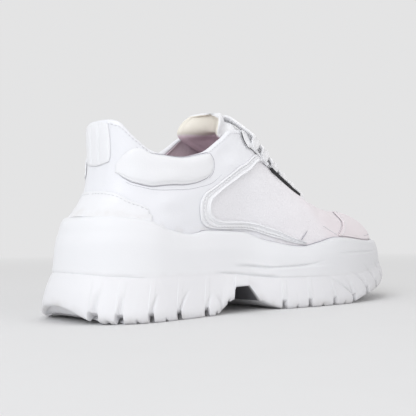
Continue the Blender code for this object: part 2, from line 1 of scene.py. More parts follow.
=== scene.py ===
"""White platform sneaker for the right foot: toe along +X, outer side along -Y, standing on z = 0."""

import math

import bpy
import numpy as np
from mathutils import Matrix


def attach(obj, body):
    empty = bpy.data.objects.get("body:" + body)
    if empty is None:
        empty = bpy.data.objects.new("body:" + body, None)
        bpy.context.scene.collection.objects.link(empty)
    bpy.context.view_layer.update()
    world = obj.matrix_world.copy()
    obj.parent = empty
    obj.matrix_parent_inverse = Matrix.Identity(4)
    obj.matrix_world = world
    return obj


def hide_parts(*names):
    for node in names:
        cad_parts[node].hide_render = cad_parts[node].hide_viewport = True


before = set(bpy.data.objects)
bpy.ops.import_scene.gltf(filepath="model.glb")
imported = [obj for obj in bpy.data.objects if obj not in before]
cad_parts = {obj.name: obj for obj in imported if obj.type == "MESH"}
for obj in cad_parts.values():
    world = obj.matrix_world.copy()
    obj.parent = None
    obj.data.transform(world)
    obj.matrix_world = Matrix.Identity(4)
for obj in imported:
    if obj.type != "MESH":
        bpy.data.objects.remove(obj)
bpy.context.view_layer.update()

# Main sizes in metres, as in the solids
LENGTH = 0.290
BALL_HALF = 0.0525
HEEL_TOP = 0.1165
PLATFORM = 0.060
CENTRE_X = LENGTH / 2
HEEL_INSET = 0.015
TOE_INSET = 0.004
SIDE_INSET = 0.008
LIP = 0.0052
CUP_GAP = 0.0005
INSOLE_THICK = 0.004
MM = 0.001

# Outline of the sole's bottom edge
# columns: share of length, outer half width, inner half width (shares of half the ball width)
SOLE_PLAN = (
    (0.00, 0.83, 0.81), (0.14, 0.83, 0.81), (0.29, 0.79, 0.75), (0.40, 0.76, 0.69),
    (0.50, 0.86, 0.76), (0.62, 0.99, 0.90), (0.72, 1.03, 0.97), (0.82, 0.97, 0.96),
    (0.92, 0.90, 0.90), (1.00, 0.86, 0.86),
)
HEEL_CAP = 0.15
TOE_CAP = 0.235

# Width of the sole's top edge outside the upper: columns: way round one side, share of the lip
LIP_WIDTH = ((0.00, 0.50), (0.25, 0.85), (0.45, 1.00), (0.62, 0.95), (0.80, 0.62), (1.00, 0.45))

# Centre line of the shoe: columns: share of length, shift to the inner side
CENTRE_LINE = ((0.00, 0.00), (0.45, 0.00), (0.75, 0.03), (1.00, 0.09))

# Heights of the sole in shares of the platform height
# columns: share of length, bottom, parting line, cup floor
SOLE_HEIGHTS = (
    (0.00, 0.150, 0.465, 0.660), (0.03, 0.020, 0.445, 0.660), (0.06, 0.000, 0.425, 0.655),
    (0.29, 0.000, 0.415, 0.620), (0.355, 0.140, 0.400, 0.580), (0.43, 0.100, 0.365, 0.530),
    (0.465, 0.040, 0.350, 0.500), (0.50, 0.000, 0.345, 0.470), (0.69, 0.000, 0.335, 0.440),
    (0.75, 0.065, 0.345, 0.440), (0.84, 0.150, 0.380, 0.455), (1.00, 0.330, 0.470, 0.500),
)

# Top edge of the sole: columns: share of length, share of the platform height
SOLE_RIM = (
    (0.00, 0.91), (0.07, 0.99), (0.15, 0.945), (0.20, 0.850), (0.26, 0.812), (0.30, 0.845),
    (0.41, 0.830), (0.48, 0.735), (0.58, 0.662), (0.63, 0.700), (0.69, 0.755), (0.86, 0.705),
    (1.00, 0.730),
)

# Profile of the sole's side: columns: share of the way up, inset share
OUTSOLE_SIDE = ((0.00, 0.19), (0.04, 0.05), (0.12, 0.00), (0.50, 0.11), (0.85, 0.31), (1.00, 0.40))
MIDSOLE_SIDE = (
    (0.00, 0.40), (0.10, 0.435), (0.25, 0.465), (0.55, 0.54), (0.80, 0.72), (0.94, 0.88),
    (1.00, 1.00),
)

# Opening of the upper: columns: way round one side, share of length, half width, height
OPENING = (
    (0.00, 0.103, 0.000, 0.995), (0.05, 0.106, 0.150, 0.995), (0.10, 0.118, 0.300, 0.980),
    (0.15, 0.142, 0.420, 0.910), (0.21, 0.183, 0.500, 0.838), (0.28, 0.240, 0.535, 0.818),
    (0.35, 0.305, 0.535, 0.850), (0.41, 0.362, 0.510, 0.930), (0.455, 0.402, 0.475, 0.990),
    (0.50, 0.440, 0.425, 0.997), (0.56, 0.480, 0.375, 0.940), (0.68, 0.552, 0.345, 0.785),
    (0.80, 0.624, 0.315, 0.660), (0.90, 0.680, 0.240, 0.585), (0.96, 0.706, 0.130, 0.562),
    (1.00, 0.713, 0.000, 0.558),
)
THROAT_SHIFT = 0.03

# Bulge of the upper between sole and opening
# columns: way round, low rise, low lean out, high reach forward, high reach out, high reach down
BULGE = (
    (0.00, 0.22, 0.04, 0.095, 0.00, 0.95), (0.12, 0.24, 0.05, 0.070, 0.03, 0.84),
    (0.28, 0.36, 0.08, -0.02, 0.08, 0.34), (0.42, 0.48, 0.10, 0.02, 0.14, 0.42),
    (0.50, 0.52, 0.10, 0.06, 0.18, 0.44), (0.65, 0.50, 0.12, 0.10, 0.20, 0.34),
    (0.80, 0.54, 0.14, 0.20, 0.22, 0.26), (0.92, 0.60, 0.20, 0.52, 0.16, 0.06),
    (1.00, 0.62, 0.24, 0.80, 0.00, 0.01),
)

# Tongue above the top eyelets: columns: share of length, height, half width, sag, thickness share, droop
TONGUE_TOP = (
    (0.449, 1.038, 0.385, 0.40, 1.10, 0.170), (0.444, 1.074, 0.375, 0.34, 1.35, 0.110),
    (0.440, 1.100, 0.335, 0.27, 1.45, 0.080), (0.436, 1.114, 0.270, 0.20, 0.80, 0.070),
)
TONGUE_WINGS = (0.0095, 0.0048, 0.0)
TONGUE_WAYS = (0.87, 0.82, 0.76, 0.70, 0.64, 0.58, 0.53)
TONGUE_TILT = 0.04
TONGUE_THICK = 0.006
TONGUE_EDGE = 0.0022
TONGUE_DEPTH = 0.0039
TONGUE_CREST = (
    (0.50, 0.00, 1.5), (0.58, 0.05, 1.5), (0.66, 0.13, 1.5), (0.76, 0.16, 1.5), (0.82, 0.10, 1.2),
    (0.87, 0.00, 0.7),
)
TONGUE_BASE = (
    ((0.91, 0.80), (0.92, 0.84), (0.935, 0.88), (0.955, 0.90), (0.985, 0.90)),
    ((0.89, 0.86), (0.895, 0.92), (0.91, 0.97), (0.94, 0.985), (0.98, 0.985)),
)

# Laces
LACE_WIDTH = 0.0080
LACE_THICK = 0.0023
LACE_WAYS = (0.540, 0.593, 0.646, 0.699, 0.752, 0.808)
EYELET_INSET = 0.0088

# Overlays: columns: way round one side, share up the upper
COUNTER_TOP = ((0.000, 0.64), (0.070, 0.62), (0.115, 0.60), (0.160, 0.57), (0.190, 0.52), (0.208, 0.42))
TOE_CAP_TOP = ((0.655, 0.26), (0.690, 0.325), (0.745, 0.430), (0.820, 0.56), (0.910, 0.68), (1.000, 0.735))
# columns: outer edge way, outer edge share up, inner edge way, inner edge share up
WINDOW_BAND = (
    (0.585, 0.915, 0.588, 0.850), (0.550, 0.850, 0.548, 0.790), (0.500, 0.768, 0.500, 0.710),
    (0.455, 0.700, 0.455, 0.630), (0.415, 0.670, 0.412, 0.590), (0.385, 0.640, 0.388, 0.562),
    (0.355, 0.600, 0.374, 0.535), (0.338, 0.545, 0.362, 0.500), (0.330, 0.460, 0.357, 0.450),
    (0.330, 0.370, 0.357, 0.390), (0.335, 0.285, 0.366, 0.335), (0.350, 0.238, 0.385, 0.305),
    (0.385, 0.232, 0.408, 0.300), (0.425, 0.236, 0.430, 0.296), (0.465, 0.224, 0.466, 0.290),
    (0.500, 0.196, 0.502, 0.258), (0.528, 0.172, 0.532, 0.214), (0.556, 0.160, 0.560, 0.182),
)
# Edges of the mesh inside the band: columns: way round one side, share up the upper
WINDOW_LOW = (
    (0.357, 0.45), (0.366, 0.33), (0.385, 0.305), (0.41, 0.299), (0.466, 0.290), (0.502, 0.258), (0.56, 0.18),
    (0.64, 0.16),
)
WINDOW_HIGH = (
    (0.357, 0.45), (0.374, 0.535), (0.388, 0.562), (0.412, 0.59), (0.455, 0.63), (0.50, 0.71), (0.548, 0.79),
    (0.588, 0.85), (0.64, 0.60),
)
# Padded panel below the collar: columns: way round one side, lower share up, upper share up
COLLAR_PANEL = (
    (0.090, 0.742, 0.782), (0.120, 0.726, 0.865), (0.150, 0.727, 0.935), (0.185, 0.722, 0.965),
    (0.235, 0.700, 0.968), (0.285, 0.686, 0.968), (0.320, 0.692, 0.968), (0.342, 0.710, 0.965),
    (0.358, 0.735, 0.955), (0.368, 0.765, 0.935), (0.374, 0.810, 0.890),
)
HEEL_TAB = (0.0, 0.074, 0.890, 0.100)
SIDE_STRIP = (0.600, 0.735, 0.0145, 0.0185)
STAY_BACK = 0.495
SIDES = (("outer", -1), ("inner", 1))

# Places of the lug grooves, shares of length, and the arch between heel and forefoot
GROOVES = (0.032, 0.068, 0.126, 0.195, 0.272, 0.495, 0.566, 0.641, 0.709, 0.768, 0.824, 0.880)
GROOVE_WIDTH = 0.0034
GROOVE_DEPTH = 0.0030
NOTCH_DEPTH = 0.0040
ARCH_BACK = 0.103
ARCH_ROOF_END = 0.116
ARCH_FRONT = 0.1255
ARCH_TOP = 0.0160
ARCH_FRONT_TOP = 0.0050
ARCH_PLACES = (
    ARCH_BACK - 0.9 * MM, ARCH_BACK, ARCH_BACK + 1.4 * MM, ARCH_ROOF_END, ARCH_FRONT, ARCH_FRONT + 0.9 * MM
)

# Soft creases of the leather
# columns: side, way a, share up a, way b, share up b, bow share, depth in mm, half width in mm
CREASES = (
    (-1, 0.80, 0.80, 0.67, 0.47, 0.10, 0.55, 4.2), (-1, 0.74, 0.72, 0.63, 0.44, -0.08, 0.45, 3.6),
    (-1, 0.87, 0.88, 0.76, 0.56, 0.12, 0.50, 4.0), (-1, 0.93, 0.90, 0.84, 0.74, 0.05, 0.40, 3.4),
    (1, 0.79, 0.82, 0.68, 0.50, 0.10, 0.55, 4.2), (1, 0.73, 0.70, 0.64, 0.42, -0.06, 0.45, 3.8),
    (1, 0.88, 0.88, 0.78, 0.58, 0.10, 0.50, 4.0), (-1, 0.15, 0.68, 0.29, 0.60, -0.10, 0.55, 4.5),
    (-1, 0.22, 0.60, 0.30, 0.36, 0.12, 0.45, 5.0), (-1, 0.06, 0.56, 0.17, 0.50, 0.06, 0.35, 3.6),
    (1, 0.16, 0.67, 0.30, 0.60, -0.10, 0.50, 4.5), (1, 0.23, 0.58, 0.31, 0.34, 0.10, 0.45, 5.0),
    (-1, 0.395, 0.93, 0.46, 0.78, 0.08, 0.60, 4.6), (-1, 0.43, 0.95, 0.52, 0.87, -0.08, 0.45, 4.0),
    (1, 0.40, 0.93, 0.47, 0.79, 0.08, 0.55, 4.6), (-1, 0.50, 0.62, 0.60, 0.46, 0.10, 0.35, 5.5),
    (-1, 0.43, 0.52, 0.49, 0.36, -0.08, 0.35, 5.0), (1, 0.50, 0.60, 0.61, 0.44, 0.10, 0.35, 5.5),
)


def smooth(table, column, at):
    """Read a table's column at places, smoothly between its rows."""
    rows = np.array(table, float)
    xs, ys = rows[:, 0], rows[:, column]
    slopes = np.diff(ys) / np.diff(xs)
    before, after = slopes[:-1], slopes[1:]
    both = before * after
    middle = np.where(both > 0, 2 * both / np.where(both > 0, before + after, 1.0), 0.0)
    tangents = np.concatenate([slopes[:1], middle, [0.0]])
    at = np.clip(at, xs[0], xs[-1])
    i = np.clip(np.searchsorted(xs, at, side="right") - 1, 0, len(xs) - 2)
    h = xs[i + 1] - xs[i]
    s = (at - xs[i]) / h
    near = (1 + 2 * s) * (1 - s) ** 2 * ys[i] + s * (1 - s) ** 2 * h * tangents[i]
    return near + s * s * (3 - 2 * s) * ys[i + 1] + s * s * (s - 1) * h * tangents[i + 1]


def ease(low, high, at):
    """Rise gently from 0 at low to 1 at high."""
    s = np.clip((at - low) / (high - low), 0.0, 1.0)
    return s * s * (3 - 2 * s)


def bump(at, middle, width):
    """1 at the middle, falling softly on both sides."""
    return np.exp(-(((at - middle) / width) ** 2))


def unit(vectors):
    return vectors / np.maximum(np.linalg.norm(vectors, axis=-1, keepdims=True), 1e-12)


def split(t):
    t = np.asarray(t, float) % 1.0
    side = np.where(t <= 0.5, -1.0, 1.0)
    return side, np.where(t <= 0.5, 2 * t, 2 * (1 - t))


def turn(side, way):
    """Place round the shoe for a side and a way from heel to toe."""
    return np.where(side < 0, np.asarray(way) / 2, 1 - np.asarray(way) / 2)


def end_round(along):
    heel = np.sqrt(np.maximum(0.0, 1 - (1 - np.minimum(along / HEEL_CAP, 1.0)) ** 2))
    toe = np.sqrt(np.maximum(0.0, 1 - np.maximum((along - 1 + TOE_CAP) / TOE_CAP, 0.0) ** 2.3))
    return heel * toe


def outline(t, inset, extra=0.0):
    """Plan points of the shoe's outline, drawn in by a share of the insets and by an extra amount."""
    side, way = split(t)
    along = (1 - np.cos(np.pi * way)) / 2
    back = HEEL_INSET * inset + extra
    front = LENGTH - TOE_INSET * inset - extra
    x = back + (front - back) * along
    half = np.where(side < 0, smooth(SOLE_PLAN, 1, along), smooth(SOLE_PLAN, 2, along))
    half = BALL_HALF * half - SIDE_INSET * inset - extra
    return x, BALL_HALF * smooth(CENTRE_LINE, 1, along) + side * half * end_round(along)


def sole_height(x, column):
    return PLATFORM * smooth(SOLE_HEIGHTS, column, x / LENGTH)


def rim_height(x):
    return PLATFORM * smooth(SOLE_RIM, 1, x / LENGTH)


def form(t, v):
    """Points of the upper's outer form: v is 0 at its lower edge and 1 at collar or throat."""
    t, v = np.broadcast_arrays(np.asarray(t, float), np.asarray(v, float))
    side, way = split(t)
    fx, fy = outline(t, 1.0, LIP * smooth(LIP_WIDTH, 1, way))
    foot = np.stack([fx, fy, sole_height(fx, 3) + 0.3 * MM], axis=-1)
    ox = LENGTH * smooth(OPENING, 1, way)
    oy = BALL_HALF * (THROAT_SHIFT * ox / LENGTH + side * smooth(OPENING, 2, way))
    edge = np.stack([ox, oy, HEEL_TOP * smooth(OPENING, 3, way)], axis=-1)
    nought = np.zeros_like(way)
    toward = np.stack([-np.cos(np.pi * way), side * np.sin(np.pi * way), nought], axis=-1)
    rise = np.stack([nought, nought, smooth(BULGE, 1, way)], axis=-1)
    low = foot + BALL_HALF * (smooth(BULGE, 2, way)[..., None] * toward + rise)
    reach = [smooth(BULGE, 3, way), side * smooth(BULGE, 4, way), -smooth(BULGE, 5, way)]
    high = edge + BALL_HALF * np.stack(reach, axis=-1)
    v = v[..., None]
    w = 1 - v
    return w ** 3 * foot + 3 * w * w * v * low + 3 * w * v * v * high + v ** 3 * edge


def form_normal(t, v):
    step = 0.002
    round_shoe = form(t + step, v) - form(t - step, v)
    upward = form(t, np.minimum(v + step, 1.0)) - form(t, np.maximum(v - step, 0.0))
    return unit(np.cross(round_shoe, upward))


def nearest(points, line):
    """Distance of each point from a line of points, and where along it the nearest one lies."""
    flat = points.reshape(-1, 3)
    best = np.full(len(flat), 1e9)
    spot = np.zeros(len(flat))
    a, d = line[:-1], np.diff(line, axis=0)
    for k in range(len(d)):
        s = np.clip((flat - a[k]) @ d[k] / max(d[k] @ d[k], 1e-12), 0, 1)
        gap = np.linalg.norm(flat - a[k] - s[:, None] * d[k], axis=1)
        closer = gap < best
        best[closer] = gap[closer]
        spot[closer] = (k + s[closer]) / len(d)
    return best.reshape(points.shape[:-1]), spot.reshape(points.shape[:-1])


def crease_line(side, way_a, up_a, way_b, up_b, bow):
    s = np.linspace(0, 1, 9)
    way = way_a + (way_b - way_a) * s + bow * (up_b - up_a) * np.sin(np.pi * s)
    up = up_a + (up_b - up_a) * s + bow * (way_a - way_b) * np.sin(np.pi * s)
    return form(turn(side, way), up)


CREASE_LINES = [(crease_line(*row[:6]), row[6] * MM, row[7] * MM) for row in CREASES]


def softness(points, t, v):
    """Height of the leather over its form: creases, and the filling behind collar and heel."""
    height = np.zeros(points.shape[:-1])
    for line, depth, width in CREASE_LINES:
        gap, spot = nearest(points, line)
        fade = np.sin(np.pi * np.clip(spot, 0.02, 0.98)) ** 0.7
        trough = bump(gap, 0.0, width)
        ridge = bump(gap, 1.9 * width, width)
        height += depth * fade * (0.5 * ridge - trough)
    side, way = split(t)
    filling = bump(v, 0.93, 0.08) * ease(0.52, 0.40, way)
    quarter = bump(way, 0.27, 0.10) * bump(v, 0.50, 0.16)
    waves = 0.16 * np.sin(way * 41 + v * 9 * side) * np.sin(v * 17 + way * 11)
    waves = waves * ease(0.0, 0.10, way) * ease(1.0, 0.88, way)
    return height + MM * (0.5 * filling + 0.5 * quarter + waves * ease(0.1, 0.3, v) * ease(1.0, 0.9, v))


def skin(t, v, offset=0.0):
    """Points on the leather's outer face, or at an offset over it, and the directions away from it."""
    t, v = np.broadcast_arrays(np.asarray(t, float), np.asarray(v, float))
    points, away = form(t, v), form_normal(t, v)
    lift = softness(points, t, v) + offset
    return points + away * lift[..., None], away


def bisect(test, low, high, shape):
    """Share at which a test that holds below stops holding."""
    lo, hi = np.full(shape, low), np.full(shape, high)
    for _ in range(22):
        mid = (lo + hi) / 2
        holds = test(mid)
        lo, hi = np.where(holds, mid, lo), np.where(holds, hi, mid)
    return (lo + hi) / 2


def rim_share(t):
    """How far up the upper the sole's top edge reaches."""

    def below(v):
        p = form(t, v)
        return p[..., 2] < rim_height(p[..., 0])

    return bisect(below, 0.0, 0.7, np.shape(t))


def edge_share(t, distance):
    """How far up the upper a line lies that keeps a distance from its opening."""
    edge = form(t, 1.0)
    shape = np.broadcast(np.asarray(t), np.asarray(distance)).shape

    def beyond(v):
        return np.linalg.norm(form(t, v) - edge, axis=-1) > distance

    return bisect(beyond, 0.3, 1.0, shape)


def curve_through(points, count):
    """Smooth curve through points, spaced evenly along its run."""
    points = np.asarray(points, float)
    ends = np.vstack([2 * points[0] - points[1], points, 2 * points[-1] - points[-2]])
    fine = []
    for k in range(1, len(ends) - 2):
        a, b, c, d = ends[k - 1:k + 3]
        s = np.linspace(0, 1, 13)[:-1, None]
        bend = (2 * a - 5 * b + 4 * c - d) * s ** 2
        twist = (3 * b - a - 3 * c + d) * s ** 3
        fine.append(0.5 * (2 * b + (c - a) * s + bend + twist))
    return respace(np.vstack(fine + [points[-1:]]), count)


def bridge(a, b, count):
    """Points between two lines, without the lines themselves."""
    return a[:, None] + (b - a)[:, None] * np.linspace(0, 1, count)[1:-1][None, :, None]


def path(rows, count=80):
    """Smooth line of (way, share up) through rows."""
    return curve_through(np.array(rows, float), count).T


def respace(points, count):
    """Spread points evenly along a line."""
    points = np.asarray(points, float)
    run = np.concatenate([[0.0], np.cumsum(np.linalg.norm(np.diff(points, axis=0), axis=1))])
    spots = np.linspace(0, run[-1], count)
    return np.stack([np.interp(spots, run, points[:, k]) for k in range(points.shape[1])], axis=1)


# Finishes


class Finish:
    """A material that is put together node by node."""

    def __init__(self, name, colour, roughness, **sockets):
        self.material = bpy.data.materials.new(name)
        self.material.use_nodes = True
        self.tree = self.material.node_tree
        self.shader = self.tree.nodes["Principled BSDF"]
        self.shader.inputs["Base Color"].default_value = (*colour, 1)
        self.shader.inputs["Roughness"].default_value = roughness
        for socket, value in sockets.items():
            self.shader.inputs[socket.replace("_", " ")].default_value = value
        self.colour = (*colour, 1)
        self.height = None

    def add(self, kind, inputs=(), **settings):
        node = self.tree.nodes.new("ShaderNode" + kind)
        for key, value in settings.items():
            setattr(node, key, value)
        for socket, value in dict(inputs).items():
            if isinstance(value, bpy.types.NodeSocket):
                self.tree.links.new(value, node.inputs[socket])
            else:
                node.inputs[socket].default_value = value
        return node

    def place(self, kind="Object"):
        return self.add("TexCoord").outputs[kind]

    def stretched(self, scale, kind="UV"):
        return self.add("Mapping", {"Vector": self.place(kind), "Scale": scale}).outputs["Vector"]

    def noise(self, scale, detail):
        spots = {"Vector": self.place(), "Scale": scale, "Detail": detail, "Roughness": 0.5}
        return self.add("TexNoise", spots).outputs["Fac"]

    def cells(self, scale):
        return self.add("TexVoronoi", {"Vector": self.place(), "Scale": scale}).outputs["Distance"]

    def bands(self, scale, axis, at):
        spots = {"Vector": at, "Scale": scale}
        return self.add("TexWave", spots, bands_direction=axis).outputs["Fac"]

    def mark(self, name):
        return self.add("Attribute", attribute_name=name).outputs["Fac"]

    def maths(self, operation, a, b):
        return self.add("Math", {0: a, 1: b}, operation=operation).outputs[0]

    def range(self, value, low, high, out_low=0.0, out_high=1.0):
        spots = {"Value": value, "From Min": low, "From Max": high, "To Min": out_low, "To Max": out_high}
        return self.add("MapRange", spots).outputs["Result"]

    def tint(self, share, colour):
        """Lay another colour over what is there, by a share."""
        node = self.add("Mix", data_type="RGBA")
        self.tree.links.new(share, node.inputs[0])
        if isinstance(self.colour, bpy.types.NodeSocket):
            self.tree.links.new(self.colour, node.inputs[6])
        else:
            node.inputs[6].default_value = self.colour
        node.inputs[7].default_value = (*colour, 1)
        self.colour = node.outputs[2]
        self.tree.links.new(self.colour, self.shader.inputs["Base Color"])

    def cloud(self, scale, detail, bounds, share, colour):
        """Cloudy patches of another colour."""
        self.tint(self.range(self.noise(scale, detail), *bounds, 0.0, share), colour)

    def stain(self, mark, scale, detail, bounds, share, colour):
        """Patches of another colour where the piece is marked."""
        patches = self.maths("MULTIPLY", self.mark(mark), self.range(self.noise(scale, detail), *bounds))
        self.tint(self.maths("MULTIPLY", patches, share), colour)

    def relief(self, height, depth, strength=1.0):
        """Raise the surface by a height map, depth in metres."""
        spots = {"Height": height, "Distance": depth, "Strength": strength}
        if self.height:
            spots["Normal"] = self.height
        self.height = self.add("Bump", spots).outputs["Normal"]
        self.tree.links.new(self.height, self.shader.inputs["Normal"])

    def sheen_by(self, value, low, high):
        """Roughness that follows a value between two bounds."""
        self.tree.links.new(self.range(value, 0.0, 1.0, low, high), self.shader.inputs["Roughness"])


def shade_of(colour, share):
    return tuple(share * c for c in colour)


def leather(name, colour, grain=1.0, roughness=0.42):
    """Coated leather: pebbled grain, faint mottling, dirt and painted contact shade held low down by the
    sole, and scuffs at its edges.
    """
    hide = Finish(name, colour, roughness)
    pebble = hide.cells(1150.0)
    fine = hide.noise(2600.0, 2.0)
    hide.cloud(26.0, 3.0, (0.35, 0.75), 0.35, shade_of(colour, 0.94))
    # Greyer patches near the sole's top edge: dirt, and painted contact shade where the upper meets the sole
    hide.stain("low", 140.0, 5.0, (0.42, 0.72), 0.35, LEATHER_DIRT_AND_SHADE)
    hide.stain("edge", 420.0, 4.0, (0.55, 0.75), 0.25, LEATHER_SCUFF)
    hide.sheen_by(hide.noise(90.0, 4.0), roughness - 0.07, roughness + 0.10)
    hide.relief(pebble, 0.10 * MM * grain, 0.55)
    hide.relief(fine, 0.04 * MM, 0.5)
    hide.relief(hide.noise(55.0, 2.0), 0.35 * MM, 0.5)
    return hide


def add_window_mesh(hide):
    """Mesh cloth in the side window, level with the leather round it, with painted shade in its holes."""
    inside = hide.mark("window")
    holes = hide.cells(900.0)
    hide.tint(hide.maths("MULTIPLY", inside, 0.6), MESH_TONE)
    # Painted shade in the holes of the mesh
    hide.tint(hide.maths("MULTIPLY", inside, hide.range(holes, 0.30, 0.0, 0.0, 0.30)), MESH_HOLE_SHADE)
    hide.relief(hide.maths("MULTIPLY", inside, holes), 0.22 * MM, 0.8)


def woven(name, colour, threads, depth, roughness=0.9, shade=None):
    """Woven or knitted cloth with its threads along the piece's own surface, and painted shade in the gaps
    between them.
    """
    cloth = Finish(name, colour, roughness, Sheen_Weight=0.25, Sheen_Roughness=0.5)
    at = cloth.stretched(threads)
    weave = cloth.maths("MULTIPLY", cloth.bands(1.0, "X", at), cloth.bands(1.0, "Y", at))
    shade = shade or shade_of(colour, 0.72)
    # Painted shade in the gaps between threads
    cloth.tint(cloth.range(weave, 0.5, 0.0, 0.0, 0.55), shade)
    cloth.cloud(70.0, 4.0, (0.4, 0.8), 0.25, shade)
    cloth.relief(weave, depth, 0.9)
    cloth.relief(cloth.noise(1800.0, 2.0), 0.05 * MM, 0.5)
    return cloth


def moulded(name, colour, roughness, pits=900.0):
    """Moulded foam or rubber: fine skin, faint flow marks, dust in its low edges, and painted shade towards
    the toe and in its grooves.
    """
    cast = Finish(name, colour, roughness)
    cast.cloud(22.0, 3.0, (0.35, 0.75), 0.30, shade_of(colour, 0.95))
    # Painted shade: the sole darker towards the toe, where less light falls
    cast.tint(cast.mark("fore"), shade_of(colour, 0.84))
    cast.stain("low", 120.0, 5.0, (0.38, 0.70), 0.5, SOLE_DUST)
    # Painted shade in the notches, creases and grooves
    cast.tint(cast.maths("MULTIPLY", cast.mark("groove"), 0.35), shade_of(colour, 0.72))
    cast.sheen_by(cast.noise(60.0, 4.0), roughness - 0.06, roughness + 0.10)
    cast.relief(cast.noise(pits, 3.0), 0.06 * MM, 0.6)
    cast.relief(cast.noise(34.0, 2.0), 0.30 * MM, 0.5)
    return cast


WHITE = (0.86, 0.868, 0.90)
SOFT_WHITE = (0.87, 0.875, 0.895)
# Rose-grey of the front: partly the leather's own tint, partly painted shade of the toe turned from the light
FRONT_TINT_AND_SHADE = (0.805, 0.745, 0.768)
CREAM = (0.90, 0.86, 0.76)
MAUVE = (0.86, 0.71, 0.78)
# Dirt and painted contact shade low on the leather by the sole
LEATHER_DIRT_AND_SHADE = (0.70, 0.67, 0.64)
LEATHER_SCUFF = (0.66, 0.64, 0.63)
SOLE_DUST = (0.50, 0.47, 0.44)
MESH_TONE = (0.85, 0.835, 0.86)
MESH_HOLE_SHADE = (0.70, 0.68, 0.71)
# Near-black painted shade for the inside of the arch
ARCH_ROOF_SHADE = (0.06, 0.06, 0.07)

upper_leather = leather("white upper leather", WHITE)
# Front of the upper tinted rose-grey: its own tint with painted shade towards the toe
upper_leather.tint(upper_leather.mark("fore"), FRONT_TINT_AND_SHADE)
add_window_mesh(upper_leather)
overlay_leather = leather("white overlay leather", SOFT_WHITE, 0.7, 0.38)
# Toe cap in the same rose-grey: its own tint with painted shade
toe_leather = leather("toe leather", FRONT_TINT_AND_SHADE, 0.9, 0.42)
pad_leather = leather("soft white leather", SOFT_WHITE, 0.9, 0.45)
tongue_leather = leather("tongue leather", (0.87, 0.875, 0.89), 0.9, 0.45)
tongue_leather.tint(tongue_leather.mark("lining"), MAUVE)
tongue_leather.tint(tongue_leather.mark("roll"), CREAM)
foam_finish = moulded("white foam", (0.85, 0.855, 0.875), 0.55)
rubber_finish = moulded("white rubber", (0.83, 0.83, 0.85), 0.50, 1300.0)
# Painted shade: the arch's roof near-black, as deep in the shadow of the tunnel
rubber_finish.tint(rubber_finish.maths("MULTIPLY", rubber_finish.mark("arch_shade"), 0.92), ARCH_ROOF_SHADE)
lining_finish = woven("rose lining", (0.88, 0.73, 0.80), (150.0, 30.0, 1.0), 0.25 * MM)
insole_finish = woven("rose insole", (0.84, 0.70, 0.76), (150.0, 60.0, 1.0), 0.22 * MM)
lace_finish = woven("white lace", (0.93, 0.93, 0.94), (28.0, 5.0, 1.0), 0.12 * MM, 0.85, (0.85, 0.85, 0.865))
thread_finish = Finish("white thread", (0.84, 0.84, 0.86), 0.6)
thread_finish.tint(thread_finish.noise(900.0, 2.0), (0.70, 0.70, 0.72))
thread_finish.relief(thread_finish.noise(2500.0, 2.0), 0.08 * MM, 0.8)
# Grey for strips that stand in for the shadow in seams and grooves
seam_shadow_finish = Finish("seam shadow", (0.42, 0.41, 0.45), 0.8)
seam_shadow_finish.tint(seam_shadow_finish.noise(300.0, 2.0), (0.54, 0.53, 0.58))
seam_shadow_finish.relief(seam_shadow_finish.noise(1500.0, 2.0), 0.06 * MM, 0.6)
# Black for the side strip, and for painted shade in the eyelet holes and under the eyestay's edge
black_trim_and_shade = Finish("dark trim", (0.012, 0.012, 0.014), 0.5)
black_trim_and_shade.cloud(400.0, 3.0, (0.45, 0.8), 0.4, (0.05, 0.05, 0.055))
black_trim_and_shade.relief(black_trim_and_shade.cells(1400.0), 0.08 * MM, 0.6)


# Making pieces


def select_only(obj):
    bpy.ops.object.select_all(action="DESELECT")
    obj.select_set(True)
    bpy.context.view_layer.objects.active = obj


def loft(name, points, marks=None, away=None, wall=0.0):
    """Grid laid through rows of points. Edges that meet are joined, and an open sheet gets a wall."""
    rows, across = points.shape[:2]
    bpy.ops.object.select_all(action="DESELECT")
    bpy.ops.mesh.primitive_grid_add(x_subdivisions=rows - 1, y_subdivisions=across - 1, size=2)
    obj = bpy.context.active_object
    obj.name = obj.data.name = name
    mesh = obj.data
    co = np.empty(len(mesh.vertices) * 3)
    mesh.vertices.foreach_get("co", co)
    co = co.reshape(-1, 3)
    i = np.rint((co[:, 0] + 1) / 2 * (rows - 1)).astype(int)
    j = np.rint((co[:, 1] + 1) / 2 * (across - 1)).astype(int)
    shaped = points[i, j] - np.array([CENTRE_X, 0, 0])
    mesh.vertices.foreach_set("co", shaped.ravel())
    for mark, values in (marks or {}).items():
        layer = mesh.attributes.new(mark, "FLOAT", "POINT")
        layer.data.foreach_set("value", np.ascontiguousarray(values[i, j], dtype=np.float32))
    mesh.update()
    bpy.ops.object.mode_set(mode="EDIT")
    bpy.ops.mesh.select_all(action="SELECT")
    bpy.ops.mesh.remove_doubles(threshold=2e-6)
    if away is None:
        bpy.ops.mesh.normals_make_consistent(inside=False)
    bpy.ops.object.mode_set(mode="OBJECT")
    if away is not None:
        turn_to(obj, away.reshape(-1, 3), points.reshape(-1, 3) - np.array([CENTRE_X, 0, 0]))
    if wall:
        solid = obj.modifiers.new("wall", "SOLIDIFY")
        solid.thickness = wall
        solid.offset = -1.0
        bpy.ops.object.modifier_apply(modifier=solid.name)
    return obj


def turn_to(obj, away, points):
    """Flip a sheet that faces the wrong way."""
    mesh = obj.data
    face = mesh.polygons[len(mesh.polygons) // 2]
    near = np.argmin(np.linalg.norm(points - np.array(face.center), axis=1))
    if np.dot(np.array(face.normal), away[near]) < 0:
        select_only(obj)
        bpy.ops.object.mode_set(mode="EDIT")
        bpy.ops.mesh.select_all(action="SELECT")
        bpy.ops.mesh.flip_normals()
        bpy.ops.object.mode_set(mode="OBJECT")


